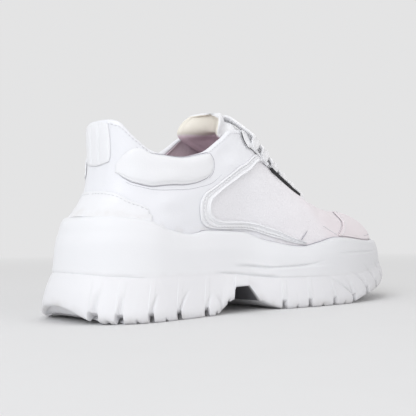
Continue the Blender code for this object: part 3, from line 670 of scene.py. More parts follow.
def done(obj, finish, nodes=(), sharp=35):
    """Give a piece its finish and its place in the object."""
    select_only(obj)
    bpy.ops.object.shade_smooth_by_angle(angle=math.radians(sharp))
    obj.data.materials.clear()
    obj.data.materials.append(finish.material)
    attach(obj, "root")
    if nodes:
        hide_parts(*nodes)
    return obj


def stations(size, count, edge=1.0 * MM):
    """Places from -1 to 1 across a piece of a size, close together at its edges, and its rounded heights."""
    steps = np.array([0.0, 0.10, 0.30, 0.60, 1.0]) * edge * 2 / size
    heights = np.array([0.0, 0.48, 0.76, 0.94, 1.0])
    middle = np.linspace(-1 + steps[-1], 1 - steps[-1], count)[1:-1]
    places = np.concatenate([-1 + steps, middle, 1 - steps[::-1]])
    return places, np.concatenate([heights, np.ones(count - 2), heights[::-1]])


def cover(name, place, sizes, counts, thick, finish, nodes, swell=None, edge=1.0 * MM):
    """Overlay sewn on the leather. place turns (along, up), each from -1 to 1, into (t, v)."""
    along, rise_a = stations(sizes[0], counts[0], edge)
    up, rise_b = stations(sizes[1], counts[1], edge)
    a, b = np.meshgrid(along, up, indexing="ij")
    t, v = place(a, b)
    height = thick * np.minimum(rise_a[:, None], rise_b[None, :])
    if swell is not None:
        height = height + swell(a, b)
    points, away = skin(t, v, 0.35 * MM + height)
    # Share near the sole's top edge, for dirt and painted contact shade
    low = ease(0.10, 0.0, v - rim_share(t))
    worn = np.maximum(ease(0.95, 1.0, np.abs(a)), ease(0.80, 1.0, np.abs(b)))
    obj = loft(name, points, {"low": low, "edge": worn}, away, wall=0.45 * MM)
    return done(obj, finish, nodes, sharp=50)


def between(low, high, b):
    """Value between two others, for b from -1 to 1."""
    return low + (high - low) * (b + 1) / 2


# Upper and lining


def band_edges(s):
    """Outer and inner edge of the window's band at shares along it, as (way, share up) pairs."""
    table = np.array(WINDOW_BAND)
    spots = np.linspace(0, 1, len(table))
    fine = curve_through(np.column_stack([table, spots]), 400)
    return [np.interp(s, np.linspace(0, 1, 400), fine[:, k]) for k in range(4)]


def window_mask(t, v):
    """1 inside the side window, 0 outside, soft at the band's ends."""
    _, way = split(t)
    lower = np.interp(way, *np.transpose(WINDOW_LOW))
    upper = np.interp(way, *np.transpose(WINDOW_HIGH))
    inside = ease(-0.012, 0.004, v - lower) * ease(-0.012, 0.004, upper - v)
    return inside * ease(0.355, 0.362, way) * ease(0.64, 0.60, way)


UPPER_ROUND = 421
UPPER_RISE = 98
TURNOVER_STEPS = 9
TUCK = 0.05


def make_upper():
    """Hollow shell that rolls over at collar and throat, and the lining inside it."""
    t = np.linspace(0, 1, UPPER_ROUND)[:, None]
    foot = rim_share(t) - TUCK
    spread = np.linspace(0, 1, UPPER_RISE)
    v = foot + (1 - foot) * spread[None, :] ** 0.97
    tt = np.broadcast_to(t, v.shape)
    _, way = split(t[:, 0])
    window = window_mask(tt, v)
    roll = MM * (1.1 + 1.7 * ease(0.50, 0.36, way))
    points, away = skin(tt, v, -0.45 * MM * window)
    top, top_away = points[:, -1], away[:, -1]
    upward = unit(top - points[:, -4])
    turnover = []
    for angle in np.linspace(0.14, 0.92, TURNOVER_STEPS) * np.pi:
        sink = -roll * (1 - math.cos(angle))
        crown = roll * math.sin(angle)
        turnover.append(top + top_away * sink[:, None] + upward * crown[:, None])
    shell = np.concatenate([points, np.stack(turnover, axis=1)], axis=1)
    lowered = np.concatenate([ease(0.9, 1.0, spread), np.ones(TURNOVER_STEPS)])
    shell -= (upward * roll[:, None])[:, None, :] * lowered[None, :, None]
    pad_out = ((0, 0), (0, TURNOVER_STEPS))
    marks = {
        "window": np.pad(window, pad_out),
        # Share near the sole's top edge, for dirt and painted contact shade
        "low": np.pad(ease(0.09, 0.0, v - rim_share(t)), pad_out),
        "edge": np.pad(ease(0.985, 1.0, v), pad_out, mode="edge"),
        # Share towards the toe, for the rose tint with painted shade
        "fore": np.pad(ease(0.115, 0.215, points[..., 0]), pad_out, mode="edge"),
    }
    shell_away = np.concatenate([away, np.repeat(top_away[:, None], TURNOVER_STEPS, axis=1)], axis=1)
    obj = loft("upper_skin", shell, marks, shell_away, wall=0.9 * MM)
    done(obj, upper_leather, ["upper"], sharp=60)

    depth = np.linspace(0, 1, 54)
    inner_v = 1 - 0.99 * depth[None, :] ** 1.15
    ti = np.broadcast_to(t[::2], (UPPER_ROUND // 2 + 1, len(depth)))
    _, way = split(ti)
    soft = 2.6 * MM * bump(1 - inner_v, 0.144, 0.16) * ease(0.50, 0.38, way)
    base, inward = skin(ti, np.broadcast_to(inner_v, ti.shape), 0.0)
    behind_roll = 1.9 * (roll[::2, None] - 1.0 * MM) * bump(depth[None, :], 0.0, 0.06)
    lining = base - inward * (2.0 * MM + behind_roll + soft)[..., None]
    lining -= (upward[::2] * roll[::2, None])[:, None, :] * ease(0.08, 0.0, depth)[None, :, None]
    obj = loft("upper_lining", lining, None, -inward, wall=0.4 * MM)
    done(obj, lining_finish, sharp=60)


make_upper()


# Overlays


def make_overlays():
    """Leathers and pads sewn on the upper."""

    def counter(a, b):
        t = a * COUNTER_TOP[-1][0] / 2
        low = rim_share(t) - 0.035
        return t, between(low, np.maximum(smooth(COUNTER_TOP, 1, 2 * np.abs(t)), low + 0.01), b)

    def flare(a, b):
        return 4.9 * MM * ((1 - b) / 2) ** 1.3 * ease(1.0, 0.45, np.abs(a)) ** 1.5

    cover(
        "counter_leather", counter, (0.11, 0.022), (96, 26), 0.8 * MM, overlay_leather, ["heel_counter"],
        swell=flare,
    )

    def toe(a, b):
        t = 0.5 + a * (1 - TOE_CAP_TOP[0][0]) / 2
        low = rim_share(t) + 0.012
        return t, between(low, np.maximum(smooth(TOE_CAP_TOP, 1, 1 - 2 * np.abs(t - 0.5)), low + 0.01), b)

    cover("toe_leather", toe, (0.20, 0.045), (130, 30), 1.0 * MM, toe_leather, ["toe_cap"])

    def stay(a, b):
        t = 0.5 + a * (0.5 - STAY_BACK / 2)
        return t, edge_share(t, between(13.0, 0.6, b) * MM)

    cover(
        "eyestay_leather", stay, (0.22, 0.0124), (220, 10), 1.2 * MM, overlay_leather, ["eyestay"],
        edge=0.9 * MM,
    )

    def ribs(_, b):
        piping = bump(b, 0.62, 0.17)
        lines = bump(b, -0.50, 0.07) + bump(b, 0.10, 0.07)
        return MM * (0.95 * piping - 0.5 * lines)

    def pillow(a, b):
        channel = bump(b, -0.86, 0.05) * (np.abs(a) < 0.97)
        full = (1 - b ** 4) * ease(-1.0, -0.35, a) * (1 - np.maximum(a, 0) ** 6)
        return MM * (1.7 * full - 0.35 * channel)

    for name, side in SIDES:
        def band(a, b, side=side):
            outer_way, outer_up, inner_way, inner_up = band_edges((a + 1) / 2)
            t = turn(side, between(outer_way, inner_way, b))
            return t, np.minimum(between(outer_up, inner_up, b), edge_share(t, 14.5 * MM))

        cover(
            "window_band_" + name, band, (0.13, 0.0065), (190, 26), 0.9 * MM, overlay_leather,
            ["window_frame_" + name], swell=ribs, edge=0.8 * MM,
        )

        def panel(a, b, side=side):
            way = between(COLLAR_PANEL[0][0], COLLAR_PANEL[-1][0], a)
            return turn(side, way), between(smooth(COLLAR_PANEL, 1, way), smooth(COLLAR_PANEL, 2, way), b)

        cover(
            "collar_cushion_" + name, panel, (0.068, 0.018), (96, 34), 0.6 * MM, pad_leather,
            ["collar_pad_" + name], swell=pillow, edge=1.2 * MM,
        )

    def tab(a, b):
        middle, half, up, half_up = HEEL_TAB
        t = (middle + half * a * 0.97 * (1 - 0.08 * np.abs(b) ** 4)) / 2
        return t, np.minimum(up + half_up * b * (1 - 0.10 * np.abs(a) ** 4), 1.0)

    def grooves(a, b):
        channel = bump(np.abs(a), 0.34, 0.05) * ease(0.98, 0.80, np.abs(b))
        return MM * (0.9 * (1 - a ** 4) * (1 - b ** 4) - 0.65 * channel)

    cover(
        "heel_tab_cushion", tab, (0.022, 0.026), (60, 44), 0.5 * MM, pad_leather, ["heel_tab"],
        swell=grooves, edge=1.2 * MM,
    )

    def strip(a, b):
        start, end, near, far = SIDE_STRIP
        t = between(start, end, a) / 2
        return t, edge_share(t, between(far, near, b))

    cover(
        "side_strip_trim", strip, (0.032, 0.004), (40, 6), 1.9 * MM, black_trim_and_shade, ["side_strip"],
        edge=0.4 * MM,
    )


make_overlays()


# Sole


# Creases that run up the sole's side from its notches
# columns: share of length at the foot, drift of that share at 17 mm up, depth in mm, height in mm
SOLE_CREASES = (
    (0.032, 0.004, 0.9, 21.0), (0.068, 0.004, 1.0, 19.0), (0.126, 0.014, 1.1, 18.0),
    (0.195, 0.025, 1.1, 18.5), (0.272, 0.018, 0.9, 16.0), (0.316, -0.034, 0.7, 15.0),
    (0.495, 0.000, 0.5, 11.0), (0.566, -0.004, 0.5, 12.0), (0.641, -0.012, 0.5, 14.0),
    (0.709, -0.020, 0.8, 21.0), (0.712, -0.072, 0.7, 22.0), (0.768, -0.040, 0.7, 24.0),
    (0.824, -0.035, 0.7, 26.0), (0.880, -0.030, 0.6, 26.0),
)
SMALL_NOTCHES = (0.050, 0.097, 0.160, 0.300, 0.336, 0.530, 0.604, 0.675)


def notch_share(x, places, half, soft):
    """1 in a notch, 0 between them, with soft slopes."""
    value = np.zeros_like(x)
    for share in places:
        value = np.maximum(value, ease(half + soft, half - soft, np.abs(x - share * LENGTH)))
    return value


def side_creases(x, rise):
    """Depth of the creases on the sole's side at a height over its bottom edge."""
    depth = np.zeros(np.broadcast(x, rise).shape)
    for foot, drift, deep, high in SOLE_CREASES:
        line = LENGTH * (foot + drift * (rise / (17 * MM)) ** 2)
        width = 0.70 * MM + 0.02 * rise
        fade = 1.35 * ease(high * MM, 0.35 * high * MM, rise)
        depth = np.maximum(depth, deep * MM * fade * bump(x, line, width))
    return depth


def side_lugs(x, rise):
    """Swell of each lug between its creases."""
    feet = np.array([row[0] for row in SOLE_CREASES if row[0] != 0.712])
    k = np.clip(np.searchsorted(feet, x / LENGTH) - 1, 0, len(feet) - 2)
    across = np.clip((x / LENGTH - feet[k]) / (feet[k + 1] - feet[k]), 0, 1)
    full = MM * np.where(x < ARCH_BACK, 1.0, 0.45)
    return full * np.sin(np.pi * across) ** 0.6 * ease(17 * MM, 3 * MM, rise) * ease(-MM, 4 * MM, rise)


def arch_height(x):
    """Height of the arch's roof, 0 outside the arch."""
    return np.interp(x, ARCH_PLACES, (0.0, ARCH_TOP * 0.86, ARCH_TOP, ARCH_TOP, ARCH_FRONT_TOP, 0.0))


def sole_ways():
    """Ways from heel to toe, close together at notches and at the arch."""
    x = list(np.linspace(0, LENGTH, 400))
    for share in GROOVES:
        for gap in (-2.3, -2.0, -1.7, -1.4, -1.1, 1.1, 1.4, 1.7, 2.0, 2.3):
            x.append(share * LENGTH + gap * MM)
    for edge in ARCH_PLACES:
        x += [edge - 0.25 * MM, edge, edge + 0.25 * MM]
    x = np.unique(np.round(np.clip(x, 0, LENGTH), 6))
    ends = (1 - np.cos(np.pi * np.linspace(0, 0.12, 14))) / 2 * LENGTH
    x = np.unique(np.concatenate([x, ends, LENGTH - ends]))
    return np.arccos(np.clip(1 - 2 * x / LENGTH, -1, 1)) / np.pi


def parting(x):
    """How far the line between rubber and foam shows: round the heel and above the arch."""
    run = x / LENGTH
    return np.maximum(ease(0.125, 0.085, run), 1.5 * ease(0.30, 0.34, run) * ease(0.50, 0.46, run))


def ring_round(under, outer, over, inner):
    """Closed loop of columns: under side, up the outer wall, across the top, down the inner wall."""
    return np.concatenate([under, outer, over, inner[:, ::-1], under[:, :1]], axis=1)


def push_in(t, inset, shift):
    """Plan points of the outline moved inward by a shift. A far drawn-in outline gives the direction."""
    x, y = outline(t, inset)
    xi, yi = outline(t, inset, 1.0)
    inward = unit(np.stack([xi - x, yi - y], axis=-1))
    return x + inward[..., 0] * shift, y + inward[..., 1] * shift


def make_outsole():
    """Rubber bottom: notched walls on both sides, tread with two channels, and an arch whose roof is painted
    near-black as the shade inside it.
    """
    way = sole_ways()[:, None]
    share = np.concatenate([[0, 0.02, 0.045, 0.08, 0.12], np.linspace(0.16, 0.94, 26), [0.965, 0.985, 1.0]])
    inset = smooth(OUTSOLE_SIDE, 1, share)[None, :]
    walls, lows, groove_shades = [], [], []
    for side in (-1, 1):
        t = turn(side, way)
        x0, _ = outline(t, 0.0)
        low = sole_height(x0, 1)
        cut = notch_share(x0, GROOVES, GROOVE_WIDTH / 2, 0.4 * MM)
        nick = notch_share(x0, SMALL_NOTCHES, 0.7 * MM, 0.4 * MM) * (arch_height(x0) == 0)
        bottom = np.maximum(low + GROOVE_DEPTH * cut + 0.9 * MM * nick, arch_height(x0))
        top = sole_height(x0, 2) + 0.1 * MM
        z = bottom + (top - bottom) * share[None, :]
        rise = z - low
        slot = NOTCH_DEPTH * cut * ease(6.5 * MM, 3.0 * MM, rise)
        slot = slot + 1.2 * MM * nick * ease(3.0 * MM, 1.5 * MM, rise)
        crease = side_creases(x0, rise)
        lugs = side_lugs(x0, rise) * (1 - cut * ease(9 * MM, 5 * MM, rise))
        ends = ease(0.0, 0.004, x0) * ease(LENGTH, LENGTH - 0.004, x0)
        seam_line = 0.7 * MM * parting(x0) * ease(1.6 * MM, 0.0, top - z)
        x, y = push_in(t, inset, (np.maximum(slot, crease) - lugs) * ends + seam_line)
        walls.append(np.stack([x, y, z], axis=-1))
        lows.append(0.8 * ease(0.007, 0.0, rise))
        # Depth of notches and creases, for painted shade in them
        groove_shades.append(np.clip(np.maximum(slot / NOTCH_DEPTH, crease / (1.3 * MM)), 0, 1))
    s = np.linspace(0, 1, 44)[1:-1]
    floor = bridge(walls[1][:, 0], walls[0][:, 0], 44)
    middle = ease(0.02, 0.05, floor[..., 0]) * ease(0.28, 0.25, floor[..., 0])
    arched = arch_height(floor[..., 0])
    channel = 1.2 * MM * bump(np.abs(s - 0.5), 0.17, 0.018)
    floor[..., 2] += channel[None, :] * middle * (arched == 0)
    floor[..., 2] += 2.2 * MM * (1 - np.abs(2 * s - 1) ** 6)[None, :] * ease(0.034, 0.010, floor[..., 0])
    roof = bridge(walls[0][:, -1], walls[1][:, -1], 8)
    loop = ring_round(floor, walls[0], roof, walls[1])
    nil, nil_roof = np.zeros(floor.shape[:2]), np.zeros(roof.shape[:2])
    # Roof of the arch's tunnel, to be painted as shade
    inside = ease(0.5, 0.49, np.abs(s - 0.5))[None, :] * (arched > 2 * MM)
    marks = {
        "low": ring_round(nil + 0.5, lows[0], nil_roof, lows[1]),
        "groove": ring_round(nil, groove_shades[0], nil_roof, groove_shades[1]),
        "arch_shade": np.pad(inside, ((0, 0), (0, loop.shape[1] - inside.shape[1]))),
        # Share towards the toe, for painted shade
        "fore": ease(0.10, 0.24, loop[..., 0]),
    }
    done(loft("outsole_rubber", loop, marks), rubber_finish, ["outsole"], sharp=38)


# Grooves along the midsole
# columns: share of length from, to, share of the wall's height at start, middle and end, depth in mm
WALL_GROOVES = (
    (0.355, 0.640, 0.200, 0.270, 0.500, 1.1),
    (0.660, 0.900, 0.560, 0.600, 0.660, 0.5),
)


def make_midsole():
    """Foam wall from the parting line to the upper, with its grooves, and the cup that holds the upper."""
    way = np.linspace(0, 1, 380)[:, None]
    near_top = [0.945, 0.965, 0.982, 0.994, 1.0]
    share = np.concatenate([[0, 0.012, 0.03, 0.06], np.linspace(0.09, 0.92, 34), near_top])
    inset = smooth(MIDSOLE_SIDE, 1, share)[None, :]
    halves, lows, groove_shades = [], [], []
    for side in (-1, 1):
        t = turn(side, way)
        x, _ = outline(t, inset)
        base = sole_height(x, 2) - 0.1 * MM
        z = base + (rim_height(x) - base) * share[None, :]
        sunk = np.zeros_like(x)
        run = x / LENGTH
        for start, end, first, middle, last, depth in WALL_GROOVES:
            q = (run - start) / (end - start)
            line = first + (4 * middle - 3 * first - last) * q + (2 * first + 2 * last - 4 * middle) * q * q
            length = ease(start, start + 0.06, run) * ease(end, end - 0.10, run)
            sunk += depth * MM * length * bump(share[None, :], line, 0.030)
        sunk += 0.7 * MM * parting(x) * ease(1.6 * MM, 0.0, z - base)
        sunk += side_creases(x, z - sole_height(x, 1)) * ease(0.0, 0.01, x) * ease(LENGTH, LENGTH - 0.01, x)
        step = 0.4 * MM * ease(0.34, 0.28, share[None, :]) * ease(0.34, 0.45, run) * ease(0.66, 0.58, run)
        flush = 0.9 * MM * ease(0.70, 0.98, share[None, :]) * ease(0.24, 0.08, way)
        x, y = push_in(t, inset, sunk - step - flush)
        wall = np.stack([x, y, z - 0.5 * MM * ease(0.93, 1.0, share[None, :]) ** 2], axis=-1)
        down = rim_share(t) * (1 - np.linspace(0, 1, 12)[None, :])
        cup = form(t, down) + form_normal(t, down) * CUP_GAP
        crown = wall[:, -1:] * 0.5 + cup[:, :1] * 0.5 + np.array([0, 0, 0.35 * MM])
        halves.append(np.concatenate([wall, crown, cup], axis=1))
        past_wall = ((0, 0), (0, 13))
        lows.append(np.pad(0.2 * ease(0.12, 0.0, share[None, :]) + 0 * x, past_wall))
        # Depth of grooves and creases, for painted shade in them
        groove_shades.append(np.pad(np.clip(sunk / (0.9 * MM), 0, 1), past_wall))
    bed = bridge(halves[0][:, -1], halves[1][:, -1], 8) - np.array([0, 0, 0.3 * MM])
    under = bridge(halves[1][:, 0], halves[0][:, 0], 8)
    nil = np.zeros((len(way), 6))
    loop = ring_round(under, halves[0], bed, halves[1])
    marks = {
        "low": ring_round(nil, lows[0], nil, lows[1]),
        "groove": ring_round(nil, groove_shades[0], nil, groove_shades[1]),
        # Share towards the toe, for painted shade
        "fore": ease(0.10, 0.24, loop[..., 0]),
    }
    done(loft("midsole_foam", loop, marks), foam_finish, ["midsole"], sharp=50)


def make_insole():
    """Flat padded footbed, a little dished at the heel."""
    way = np.linspace(0, 1, 150)[:, None]
    edges = []
    for side in (-1, 1):
        t = turn(side, way)
        edges.append((form(t, 0.0) - form_normal(t, 0.0) * 2.7 * MM)[:, 0])
    s = np.linspace(0, 1, 60)
    q = np.abs(2 * s - 1)[None, :]
    bed = edges[0][:, None] + (edges[1] - edges[0])[:, None] * s[None, :, None]
    floor = sole_height(bed[..., 0], 3) + 0.6 * MM
    dish = 0.9 * MM * q ** 3 * ease(0.16, 0.03, bed[..., 0])
    top, bottom = bed.copy(), bed.copy()
    top[..., 2] = floor + INSOLE_THICK * (1 - 0.10 * q ** 12) + dish - 0.3 * MM
    bottom[..., 2] = floor
    loop = np.concatenate([top, bottom[:, ::-1], top[:, :1]], axis=1)
    done(loft("insole_cloth", loop), insole_finish, ["insole"], sharp=50)


make_outsole()
make_midsole()
make_insole()


# Tongue and laces


def hermite(a, b, ta, tb, s):
    s = s[:, None]
    near = (1 + 2 * s) * (1 - s) ** 2 * a + s * (1 - s) ** 2 * ta
    return near + s * s * (3 - 2 * s) * b - s * s * (s - 1) * tb


def throat_section(way, depth):
    """Line across the throat: under both eyestays at a depth, and arched between them."""
    wings = np.array(TONGUE_WINGS)
    lines = []
    for side in (-1, 1):
        t = np.full(3, float(turn(side, way)))
        up = edge_share(t, wings)
        lines.append(form(t, up) - form_normal(t, up) * depth)
    left, right = lines
    a, b = left[-1], right[-1]
    reach = smooth(TONGUE_CREST, 2, way) * np.linalg.norm(b - a)
    ta = reach * unit(a - left[-2])
    tb = reach * unit(b - right[-2])
    slope = form((way + 0.01) / 2, 1.0) - form((way - 0.01) / 2, 1.0)
    up = unit(np.cross(slope, b - a))
    s = np.linspace(0.1, 0.9, 9)
    lift = BALL_HALF * smooth(TONGUE_CREST, 1, way) * (1 - np.abs(2 * s - 1) ** 3)
    middle = hermite(a, b, ta, tb, s) + up * lift[:, None]
    return np.vstack([left, middle, right[::-1]])


def relax(grid, rounds):
    """Even out a grid of points or directions by drawing each toward its neighbours."""
    for _ in range(rounds):
        middle = grid[1:-1, 1:-1]
        around = grid[2:, 1:-1] + grid[:-2, 1:-1] + grid[1:-1, 2:] + grid[1:-1, :-2]
        grid = grid.copy()
        grid[1:-1, 1:-1] = 0.5 * middle + 0.125 * around
        for edge in (0, -1):
            grid[1:-1, edge] = 0.5 * grid[1:-1, edge] + 0.25 * (grid[2:, edge] + grid[:-2, edge])
    return grid


TONGUE_ACROSS = 13
TONGUE_COLUMNS = 61
TONGUE_ROWS = 90
ROLL_START = (0.868, 0.885)


def tongue_grid():
    """Middle surface of the tongue from its base to its top, and its fullness row by row."""
    sections, thick = [], []
    for places in TONGUE_BASE:
        way, up = np.array(places).T
        row = []
        for side in (-1, 1):
            t = turn(side, way)
            row.append(form(t, up) - form_normal(t, up) * TONGUE_DEPTH)
        sections.append(respace(np.vstack([row[0], row[1][::-1]]), TONGUE_ACROSS))
        thick.append(1.0)
    for way in TONGUE_WAYS:
        sections.append(respace(throat_section(way, TONGUE_DEPTH), TONGUE_ACROSS))
        thick.append(1.0)
    q = np.linspace(-1, 1, TONGUE_ACROSS)
    for share, high, half, sag, full, droop in TONGUE_TOP:
        x = LENGTH * share - BALL_HALF * sag * q * q
        y = BALL_HALF * (half * q + THROAT_SHIFT * share)
        z = HEEL_TOP * high + BALL_HALF * (TONGUE_TILT * q - droop * (0.5 * q * q + 0.5 * q ** 4))
        sections.append(respace(np.stack([x, y, z], axis=1), TONGUE_ACROSS))
        thick.append(full)
    sections = np.array(sections)
    fine = np.stack([curve_through(sections[:, k], TONGUE_ROWS) for k in range(TONGUE_ACROSS)], axis=1)
    grid = relax(np.stack([curve_through(row, TONGUE_COLUMNS) for row in fine], axis=0), 14)
    run = np.linspace(0, len(thick) - 1, TONGUE_ROWS)
    return grid, TONGUE_THICK * np.interp(run, np.arange(len(thick)), thick)[:, None]


def make_tongue():
    """Padded tongue with a thick roll at its top and stitched channels near its edges."""
    grid, full = tongue_grid()
    away = unit(relax(unit(np.cross(np.gradient(grid, axis=1), np.gradient(grid, axis=0))), 60))
    q = np.linspace(-1, 1, TONGUE_COLUMNS)[None, :]
    up = np.linspace(0, 1, TONGUE_ROWS)[:, None]
    body = TONGUE_EDGE + (full - TONGUE_EDGE) * (1 - q * q)
    quilt = 0.35 * MM * np.sin(up * 60) * ease(0.55, 0.7, up) * ease(0.98, 0.9, up) * (1 - q ** 6)
    channel = 0.5 * MM * bump(np.abs(q), 0.86, 0.03) + 0.8 * MM * bump(up, 0.877, 0.008)
    rounded = 1 - 0.6 * ease(0.94, 1.0, np.abs(q))
    outer = grid + away * ((TONGUE_EDGE / 2) * rounded + quilt * 0.6 - channel * 0.6)[..., None]
    inner = grid + away * ((TONGUE_EDGE / 2 - body) * rounded - quilt * 0.8 + channel * 0.5)[..., None]
    loop = np.concatenate([outer, inner[:, ::-1], outer[:, :1]], axis=1)
    ends = [np.repeat(loop[[k]].mean(axis=1, keepdims=True), loop.shape[1], axis=1) for k in (0, -1)]
    onward = loop[-1:] - loop[-2:-1]
    near_end = loop[-1:] * 0.55 + ends[1] * 0.45 + onward * 0.55
    loop = np.concatenate([ends[0], loop, near_end, ends[1] + onward * 0.75], axis=0)
    inside = np.concatenate([np.zeros(TONGUE_COLUMNS), np.ones(TONGUE_COLUMNS), np.zeros(1)])[None, :]
    high = np.concatenate([[0], np.linspace(0, 1, TONGUE_ROWS), [1, 1]])[:, None]
    marks = {
        "lining": inside * ease(ROLL_START[1], ROLL_START[0], high),
        "roll": inside * ease(*ROLL_START, high),
    }
    obj = loft("tongue_pad", loop, marks)
    done(obj, tongue_leather, ["tongue"], sharp=60)


def lace_line(way):
    """Line of a lace from eyelet to eyelet over the tongue, its ends turned down through the eyestay."""
    ends = []
    for side in (-1, 1):
        distances = EYELET_INSET + np.array([0.6, 0.0, -1.6, -3.8, -6.2]) * MM
        heights = np.array([-1.7, 0.9, 3.3, 4.3, 4.6]) * MM
        t = np.full(5, float(turn(side, way)))
        points, _ = skin(t, edge_share(t, distances), heights)
        ends.append(points)
    over = throat_section(way, TONGUE_DEPTH)[4:-4]
    ahead = form((way + 0.01) / 2, 1.0) - form((way - 0.01) / 2, 1.0)
    side_way = np.gradient(over, axis=0)
    up = unit(np.cross(ahead, side_way))
    over = over + up * (TONGUE_EDGE / 2 + 1.2 * MM + LACE_THICK / 2)
    return curve_through(np.vstack([ends[0], over, ends[1][::-1]]), 72)


def make_laces():
    """Six flat laces from eyelet to eyelet, pinched where they go in."""
    angle = np.linspace(0, 2 * np.pi, 25)
    ring_x = np.sign(np.cos(angle)) * np.abs(np.cos(angle)) ** 0.45
    ring_z = np.sign(np.sin(angle)) * np.abs(np.sin(angle)) ** 0.8
    for k, way in enumerate(LACE_WAYS):
        line = lace_line(way)
        along = lace_line(way - 0.02) - lace_line(way + 0.02)
        tangent = unit(np.gradient(line, axis=0))
        width = unit(along - tangent * np.sum(along * tangent, axis=1, keepdims=True))
        up = np.cross(tangent, width)
        s = np.linspace(0, 1, 72)
        pinch = 1 - 0.42 * ease(0.09, 0.0, np.minimum(s, 1 - s))
        bulk = 1 + 0.5 * ease(0.09, 0.0, np.minimum(s, 1 - s))
        half = LACE_WIDTH / 2 * pinch[:, None, None] * ring_x[None, :, None]
        thick = LACE_THICK / 2 * bulk[:, None, None] * ring_z[None, :, None]
        tube = line[:, None] + width[:, None] * half + up[:, None] * thick
        caps = [np.repeat(tube[[i]].mean(axis=1, keepdims=True), 25, axis=1) for i in (0, -1)]
        obj = loft(f"lace_run_{k + 1}", np.concatenate([caps[0], tube, caps[1]], axis=0))
        done(obj, lace_finish, [f"lace_bar_{k + 1}"], sharp=60)


make_tongue()
make_laces()


# Eyelets, stitches and seams


def axes_at(away, along):
    along = unit(along - away * np.sum(along * away, axis=-1, keepdims=True))
    return along, unit(np.cross(away, along))


def copies(name, shape, places, along, away, finish):
    """Many copies of one small shape, each laid at a place along a direction, made one piece."""
    verts, faces = shape
    along, across = axes_at(away, along)
    x, y, z = verts.T[:, None, :, None]
    spread = places[:, None] + along[:, None] * x + across[:, None] * y + away[:, None] * z
    spread -= np.array([CENTRE_X, 0, 0])
    count = len(verts)
    corner = [tuple(i + n * count for i in face) for n in range(len(places)) for face in faces]
    mesh = bpy.data.meshes.new(name)
    mesh.from_pydata(spread.reshape(-1, 3).tolist(), [], corner)
    obj = bpy.data.objects.new(name, mesh)
    bpy.context.scene.collection.objects.link(obj)
    return done(obj, finish, sharp=70)


def primitive_shape(add, scale, **settings):
    """Vertices and faces of a primitive at a scale, kept for copying."""
    bpy.ops.object.select_all(action="DESELECT")
    add(**settings)
    obj = bpy.context.active_object
    verts = np.array([v.co[:] for v in obj.data.vertices]) * np.array(scale)
    faces = [tuple(p.vertices) for p in obj.data.polygons]
    bpy.data.objects.remove(obj)
    return verts, faces


STITCH_SIZE = (1.05 * MM, 0.30 * MM, 0.26 * MM)
STITCH = primitive_shape(
    bpy.ops.mesh.primitive_uv_sphere_add, STITCH_SIZE, segments=6, ring_count=5, radius=1,
)


def stitches(name, t, v, lift, pitch=2.6 * MM):
    """Row of stitches along a line on the leather, at a height over it."""
    points, away = skin(t, v, lift)
    run = np.concatenate([[0.0], np.cumsum(np.linalg.norm(np.diff(points, axis=0), axis=1))])
    spots = np.arange(pitch / 2, run[-1], pitch)
    at = np.stack([np.interp(spots, run, points[:, k]) for k in range(3)], axis=1)
    out = unit(np.stack([np.interp(spots, run, away[:, k]) for k in range(3)], axis=1))
    along = np.stack([np.interp(spots, run, np.gradient(points[:, k])) for k in range(3)], axis=1)
    return copies(name, STITCH, at, along, out, thread_finish)


def seam(name, t, v, width=0.5 * MM, lift=0.42 * MM, finish=None):
    """Thin strip painted dark as the shade in a sunk line between two leathers, laid just over the leather.
    """
    t, v = np.asarray(t, float), np.asarray(v, float)
    points, away = skin(t, v, lift)
    tangent = unit(np.gradient(points, axis=0))
    across = unit(np.cross(away, tangent))
    q = np.linspace(-1, 1, 5)
    taper = np.sin(np.pi * np.clip(np.linspace(0, 1, len(t)), 0.03, 0.97)) ** 0.35
    bead = (np.sqrt(1 - q ** 2) - 0.5) * 0.16 * MM
    half = (q * width / 2)[None, :, None] * taper[:, None, None]
    rows = points[:, None] + across[:, None] * half + away[:, None] * bead[None, :, None]
    obj = loft(name, rows, None, np.repeat(away[:, None], 5, axis=1), wall=0.25 * MM)
    return done(obj, finish or seam_shadow_finish, sharp=60)


# Lines of the sewing that runs free over a panel, shown as strips of painted shade or as stitches: rows of
# way round one side, share up the upper
COLLAR_SECOND = (
    (0.125, 0.705), (0.185, 0.700), (0.245, 0.645), (0.295, 0.632), (0.340, 0.645), (0.372, 0.668),
    (0.395, 0.70),
)
COLLAR_FRONT = (
    (0.155, 0.945), (0.235, 0.985), (0.30, 0.985), (0.36, 0.972), (0.376, 0.90), (0.379, 0.83), (0.374, 0.76),
    (0.360, 0.715),
)
WAIST = ((0.572, 0.275), (0.558, 0.225), (0.543, 0.170))
VAMP = ((0.625, 0.335), (0.640, 0.295), (0.655, 0.262))
# Painted shadow line along the eyestay's lower edge, black on the outer side and grey on the inner: rows of
# way round one side, mm from the throat's edge
STAY_SHADOW_LINE = (
    (0.4925, 1.0), (0.4925, 6.0), (0.493, 11.5), (0.497, 13.5), (0.51, 13.6), (0.60, 13.6), (0.83, 13.6),
)


